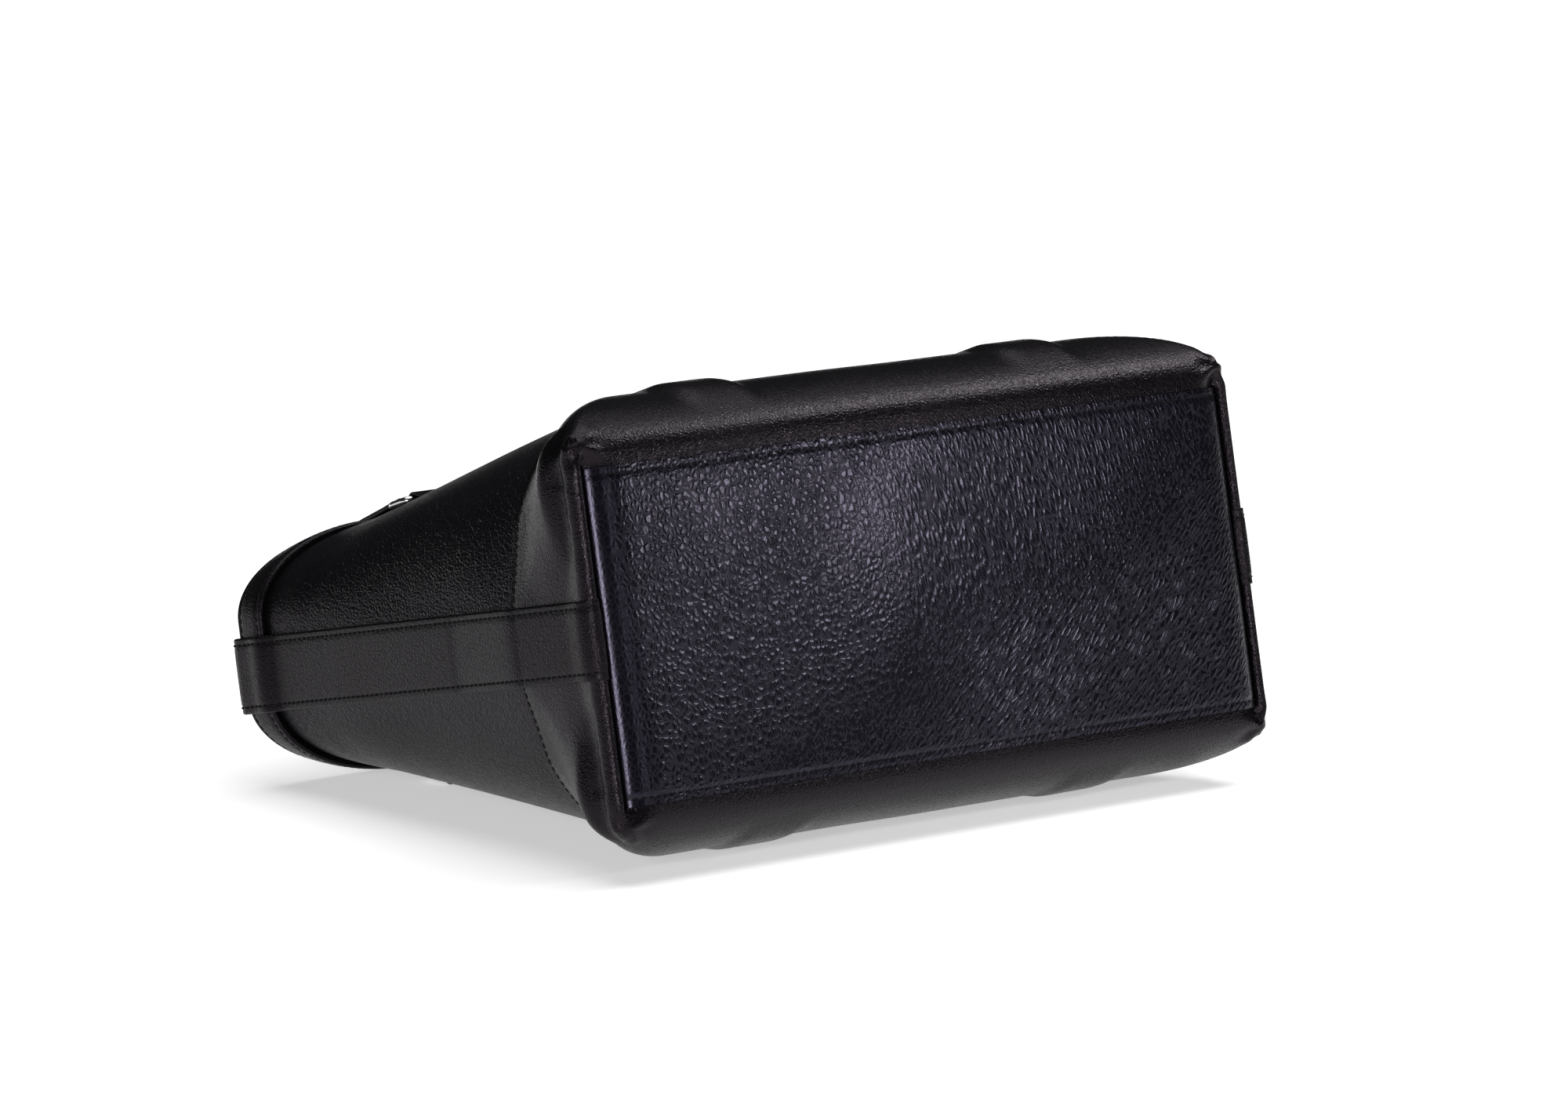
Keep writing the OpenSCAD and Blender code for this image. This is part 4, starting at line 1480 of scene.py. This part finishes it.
@dataclass(frozen=True)
class Handle:
    """Rolled handle with flat tabs that loop around the rings' upper bars."""

    side: int
    bar: np.ndarray
    away: np.ndarray
    inside: np.ndarray
    reach: float = 116.0
    bend: float = 46.0
    roll_r: float = 6.5
    roll_rise: float = 3.1
    tab_w: float = 26.0
    tab_mid: float = -1.9
    tab_t: float = 3.0
    loop_mid: float = 2.85
    loop_t: float = 1.1

    def stand(self, local: np.ndarray) -> np.ndarray:
        """Turns the handle's own points (x, away from the bar, to the inside) upright."""
        flat = self.bar + local[:, 1:2] * self.away + local[:, 2:3] * self.inside
        return np.column_stack([local[:, 0], flat])

    def route(self) -> np.ndarray:
        """Middle line of the handle from its left tab to its right one, in its own points."""
        leg_end = self.reach - self.bend
        y_up = np.linspace(5, leg_end, 40)
        left = np.column_stack([np.full(40, -LEG_X), y_up])
        bend = np.array(arc((-LEG_X + self.bend, leg_end), self.bend, 180, 90, 22))[1:]
        grip = np.column_stack([np.linspace(-LEG_X + self.bend, 0, 14)[1:], np.full(13, self.reach)])
        half = np.vstack([left, bend, grip])
        whole = np.vstack([half, half[::-1][1:] * [-1, 1]])
        lift = mix(self.tab_mid, self.roll_rise, ease((whole[:, 1] - 34) / 20))
        return np.column_stack([whole, lift])

    def section(self, w: float, inward: int) -> np.ndarray:
        """Section of the handle between its flat tab, w = 0, and its roll, w = 1."""
        phi = np.linspace(0, 2 * math.pi, 41)[:-1]
        c, s = np.cos(phi), np.sin(phi)
        power = 2 / 7
        flat = np.column_stack([
            self.tab_w / 2 * np.sign(c) * np.abs(c) ** power,
            self.tab_t / 2 * np.sign(s) * np.abs(s) ** power,
        ])
        turn = np.angle(np.exp(1j * (phi - (0 if inward > 0 else math.pi))))
        r = self.roll_r - 0.4 + 2.4 * np.exp(-((turn / 0.26) ** 2))
        return mix(flat, np.column_stack([r * c, r * s]), w)

    def build(self) -> None:
        """Makes the handle's leather and its stitches."""
        name = "front_handle" if self.side == FRONT else "back_handle"
        local = self.route()
        path = self.stand(local)
        up = -np.column_stack([np.zeros(len(path)), np.tile(self.inside, (len(path), 1))])
        across, _ = rails(path, up)
        middle = self.stand(np.array([[0.0, self.reach - self.bend, self.roll_rise]]))
        inward = 1 if np.dot(across[len(path) // 2], middle[0] - path[len(path) // 2]) > 0 else -1
        weight = ease((local[:, 1] - 36) / 18)
        places = np.linspace(0, 1, len(path))
        piece = sweep(
            f"{name}_leather_roll", path, up,
            lambda t: self.section(float(np.interp(t, places, weight)), inward),
        )
        loops = [self._loop(name, x) for x in (-LEG_X, LEG_X)]
        Bench.only(piece)
        for loop in loops:
            loop.select_set(True)
        bpy.ops.object.join()
        Bench.smooth(piece)
        report(piece, name, Finish.ROLL, "handle_leather", f"{name}_leather")
        across, up = rails(path, up)
        roll = weight > 0.97
        seam = path + across * inward * (self.roll_r + 0.9)
        for lift in (-0.75, 0.75):
            STITCHES.sew(f"thread_{name}", (seam + up * lift)[roll], (up * np.sign(lift))[roll])
        tab = (local[:, 1] < 36) & (local[:, 1] > 7)
        for half in (local[:, 0] < 0, local[:, 0] > 0):
            for way in (-1, 1):
                row = path + across * way * (self.tab_w / 2 - 3) + up * (self.tab_t / 2)
                STITCHES.sew(f"thread_{name}", row[tab & half], up[tab & half])

    def _loop(self, name: str, x: float) -> bpy.types.Object:
        """Ply of the tab that turns around the ring's bar and lies behind the tab."""
        turn = arc((0, 0), self.loop_mid, 75, 285, 21)
        flat = spline([(26, 0.35), (14, 0.7), (6, 2.1), *turn, (7, -2.8), (14, -2.6)], 70)
        local = np.column_stack([np.full(len(flat), x), flat])
        path = self.stand(local)
        up = np.cross(np.gradient(path, axis=0), [1.0, 0, 0])
        ply = slab(self.tab_w - 0.4, -self.loop_t / 2, self.loop_t / 2, 0.4)
        return sweep(f"{name}_loop", path, up, lambda t: ply)


# ---- Inside the bag ----


@dataclass(frozen=True)
class Inside:
    """Floor lining, pocket and the sleeves around the mouth frame's stays."""

    floor_z: float = 6.8
    floor_l: float = 385.8
    pocket_w: float = 180.0
    pocket_low: float = 95.0
    pocket_high: float = 205.0
    sleeve_d: float = 40.0
    sleeve_corner: float = 28.0
    stay_w: float = 7.0
    half_l: tuple[float, float] = (171.0, 173.6)

    def floor(self) -> None:
        """Makes the lining over the base board."""
        x, y = np.meshgrid(np.linspace(-1, 1, 61), np.linspace(-1, 1, 29))
        trim = 1 - 0.012 * (np.abs(x) ** 12) * (np.abs(y) ** 12)
        rise = 0.5 * (1 - x**6) * (1 - y**6)
        points = np.stack([
            x * self.floor_l / 2 * trim, y * FORM.bottom_w / 2 * trim,
            self.floor_z + LINING_T + rise + 0.15 * np.sin(x * 19) * np.sin(y * 8),
        ], axis=-1)
        upward = np.array([0, 0, 1.0])
        piece = Bench.sheet("floor_lining_cloth", points, LINING_T, upward, False, (0.386, 0.16))
        report(piece, "bag", Finish.LINING, "lining_cloth", "floor_lining")

    def pocket(self) -> None:
        """Makes the patch pocket on the back lining, with a hem along its open edge."""
        for part, low, near, rows in (
            ("inner_pocket_cloth", self.pocket_low, 5.2, 25),
            ("inner_pocket_hem", self.pocket_high - 12, 6.3, 7),
        ):
            main = part == "inner_pocket_cloth"
            x, t = np.meshgrid(np.linspace(-1, 1, 41), np.linspace(0, 1, rows))
            z = mix(low, self.pocket_high - 2.0 * (1 - x**2), t)
            open_ = ease((z - 150) / 55) * (1 - x**4)
            sag = Wall().sag(np.stack([x * 90, np.full_like(x, 90), z], -1))
            y = FORM.depth(BACK, z) - near - 2.2 * open_ + sag
            points = np.stack([x * self.pocket_w / 2, y, z], axis=-1)
            piece = Bench.sheet(part, points, LINING_T, np.array([0, -1.0, 0]), False, (0.18, 0.11))
            report(piece, "bag", Finish.POCKET, "lining_cloth", *(["inner_pocket"] if main else []))
            for edge in (points[:, 1], points[:, -2], points[1]) if main else (points[1],):
                STITCHES.sew("thread_pocket", edge, np.tile([0.0, -1.0, 0.0], (len(edge), 1)))

    def sleeve(self, side: int) -> None:
        """Makes the leather sleeve around one stay of the mouth frame."""
        name = "front_frame" if side == FRONT else "back_frame"
        half = self.half_l[0 if side == FRONT else 1] - self.stay_w / 2
        deep, bend = self.sleeve_d - self.stay_w / 2, self.sleeve_corner - self.stay_w / 2
        corner = arc((-half + bend, deep - bend), bend, 180, 90, 16)
        left = [(-half, y) for y in np.linspace(13, deep - bend, 5)[:-1]] + corner
        left += [(x, deep) for x in np.linspace(-half + bend, 0, 24)[1:]]
        line = np.array(left + [(-x, y) for x, y in left[::-1][1:]])
        z = np.full(len(line), HINGE_Z - 6.2)
        path = np.column_stack([line[:, 0], side * line[:, 1], z])
        up = np.tile([0.0, 0.0, 1.0], (len(line), 1))
        ply = slab(self.stay_w + 2.8, -2.6, 2.6, 1.9, 0.15)
        piece = sweep(f"{name}_sleeve_leather", path, up, lambda t: ply)
        report(piece, name, Finish.SLEEVE, "sleeve_leather", f"{name}_sleeve")
        across, up = rails(path, up)
        way = 1 if across[len(path) // 2][1] * side < 0 else -1
        row = path + across * way * 3.6 + up * 2.66
        clear = (np.abs(path[:, 0]) > 8) & (np.abs(path[:, 1]) > 16)
        for half_row in (clear & (path[:, 0] < 0), clear & (path[:, 0] > 0)):
            STITCHES.sew(f"thread_{name}", row[half_row], up[half_row])

    def build(self) -> None:
        """Makes everything inside the bag."""
        self.floor()
        self.pocket()
        self.sleeve(FRONT)
        self.sleeve(BACK)


# ---- Hardware, stage and light ----


class Hardware:
    """Solids whose shape is final: they only get their finishes."""

    finishes: dict[str, Finish] = {
        "ring": Finish.NICKEL, "pin": Finish.NICKEL, "rivet": Finish.NICKEL, "snap": Finish.NICKEL,
        "stay": Finish.STEEL, "bracket": Finish.STEEL, "board": Finish.BOARD, "core": Finish.CORD,
    }

    def build(self) -> None:
        """Dresses the solids that stay."""
        for name, solid in frame["nodes"].items():
            words = [word for word in self.finishes if word in name.replace("bracket_rivets", "rivet")]
            if words:
                DRESSER.wear(solid, self.finishes[words[0]])
                log.info("%s finished as %s", name, words[0])


@dataclass(frozen=True)
class Lamp:
    """A rectangular soft lamp: its place and target in metres, its sides and its power in watts."""

    name: str
    place: tuple[float, float, float]
    target: tuple[float, float, float]
    size: tuple[float, float]
    watts: float

    def hang(self) -> None:
        """Hangs the lamp so that it faces its target."""
        Bench.clear()
        bpy.ops.object.light_add(type="AREA", location=self.place)
        lamp = bpy.context.active_object
        lamp.name = self.name
        way = np.array(self.target) - np.array(self.place)
        flat = math.hypot(way[0], way[1])
        lamp.rotation_euler = (math.atan2(flat, -way[2]), 0, math.atan2(-way[0], way[1]))
        lamp.data.shape = "RECTANGLE"
        lamp.data.size, lamp.data.size_y = self.size
        lamp.data.energy = self.watts


@dataclass(frozen=True)
class Studio:
    """Pale floor, soft lamps and the camera."""

    azimuth: float = -39.227
    elevation: float = 9.831
    distance: float = 4.189
    right: float = -0.074184
    above: float = 0.02014
    lens: float = 199.4
    floor_size: float = 60.0
    dim: tuple[float, float, float] = (0.022, 0.022, 0.025)
    sun_power: float = 1.95
    sun_angle: float = 62.0
    sun_turn: tuple[float, float] = (-4.0, 7.0)
    floor_glow: float = 0.47
    lamps: tuple[Lamp, ...] = (
        Lamp("key_lamp", (0.262, -0.607, 0.272), (-0.08, -0.185, 0.175), (0.11, 0.06), 0.52),
        Lamp("edge_lamp", (-0.13, -1.36, 0.36), (-0.19, -0.18, 0.12), (0.16, 0.50), 0.7),
        Lamp("fill_lamp", (-2.0, -1.4, 0.50), (-0.2, -0.2, 0.15), (0.60, 0.70), 25.0),
        Lamp("side_lamp", (0.95, -0.35, 1.15), (0.08, -0.15, 0.20), (0.42, 0.42), 6.6),
    )

    def camera(self) -> None:
        """Sets the camera, which looks level across the bag's lower left corner."""
        a, e = math.radians(self.azimuth), math.radians(self.elevation)
        back = np.array([math.sin(a) * math.cos(e), -math.cos(a) * math.cos(e), math.sin(e)])
        side = np.array([math.cos(a), math.sin(a), 0.0])
        rise = np.cross(back, side)
        centre = LIE.place(np.zeros(3))
        place = centre + back * self.distance + side * self.right + rise * self.above
        Bench.clear()
        bpy.ops.object.camera_add(location=place.tolist(), rotation=(math.pi / 2 - e, 0, a))
        camera = bpy.context.active_object
        camera.data.lens = self.lens
        camera.data.sensor_width = 36.0
        camera.data.clip_end = 200
        bpy.context.scene.camera = camera

    def floor(self) -> None:
        """Lays the plain pale floor, which the camera and metal see as white."""
        Bench.clear()
        bpy.ops.mesh.primitive_plane_add(size=self.floor_size)
        floor = bpy.context.active_object
        floor.name = "studio_floor"
        s = Shader("white_floor")
        path = s.node("ShaderNodeLightPath")
        seen = Sock(s, path.outputs["Is Camera Ray"]).most(Sock(s, path.outputs["Is Glossy Ray"]))
        seen = seen.most(Sock(s, path.outputs["Is Transmission Ray"]))
        grain = s.noise(s.place(), 3, 2)
        glow = s.node("ShaderNodeEmission", None, {"Color": (1, 1, 1, 1), "Strength": seen * self.floor_glow})
        both = s.node("ShaderNodeAddShader", None, {0: s.surface.outputs[0], 1: glow.outputs[0]})
        out = next(n for n in s.tree.nodes if n.type == "OUTPUT_MATERIAL")
        s.tree.links.new(both.outputs[0], out.inputs["Surface"])
        white = s.set(
            Base_Color=s.blend(grain, (0.90, 0.90, 0.90), (0.92, 0.92, 0.92)),
            Roughness=0.9,
            Specular_IOR_Level=0.1,
        )
        floor.data.materials.append(white)

    def world(self) -> None:
        """Makes the dim surroundings above the floor."""
        world = bpy.data.worlds.new("studio")
        bpy.context.scene.world = world
        world.use_nodes = True
        world.node_tree.nodes["Background"].inputs["Color"].default_value = (*self.dim, 1.0)

    def sun(self) -> None:
        """Hangs the wide soft light over everything."""
        Bench.clear()
        bpy.ops.object.light_add(type="SUN", rotation=(*(math.radians(t) for t in self.sun_turn), 0))
        sun = bpy.context.active_object
        sun.name = "overhead_light"
        sun.data.energy = self.sun_power
        sun.data.angle = math.radians(self.sun_angle)

    def build(self) -> None:
        """Sets up everything around the bag."""
        self.camera()
        self.floor()
        self.world()
        self.sun()
        for lamp in self.lamps:
            lamp.hang()
        bpy.context.scene.view_settings.view_transform = "Standard"


def main() -> None:
    """Builds the studio, then the bag from the base to the handles."""
    logging.basicConfig(level=logging.INFO, format="%(name)s: %(message)s")
    Studio().build()
    BottomPanel().build()
    BaseWrap().build()
    Wall().build()
    RimBand().build()
    for side in (-1, 1):
        EndStrap(side).build()
    pivots = {j["name"]: LIE.stand_up(np.array(j["pos_m"])) for j in frame["joints"]}
    for side, word in ((FRONT, "front"), (BACK, "back")):
        bar, top = pivots[f"{word}_ring_swing"], pivots[f"{word}_handle_swing"]
        bar_off = abs(bar[1]) - float(FORM.depth(side, np.array(bar[2])))
        for x in (-LEG_X, LEG_X):
            LegStrap(side, x, bar_off).build()
        away = unit((top - bar)[1:])
        turn = math.radians(5.0) if side == FRONT else 0.0
        away = np.array([
            away[0] * math.cos(turn) + away[1] * math.sin(turn),
            -away[0] * math.sin(turn) + away[1] * math.cos(turn),
        ])
        inside = np.array([away[1], -away[0]]) if side == FRONT else np.array([-away[1], away[0]])
        Handle(side, top[1:], away, inside).build()
    Inside().build()
    Hardware().build()
    owners = {
        "thread_front_handle": "front_handle", "thread_back_handle": "back_handle",
        "thread_front_frame": "front_frame", "thread_back_frame": "back_frame",
    }
    for piece in STITCHES.finish():
        slot = "handle_leather" if "handle" in piece.name else "trim_leather"
        report(piece, owners.get(piece.name, "bag"), Finish.THREAD, slot)
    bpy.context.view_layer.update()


if __name__ == "__main__":
    main()
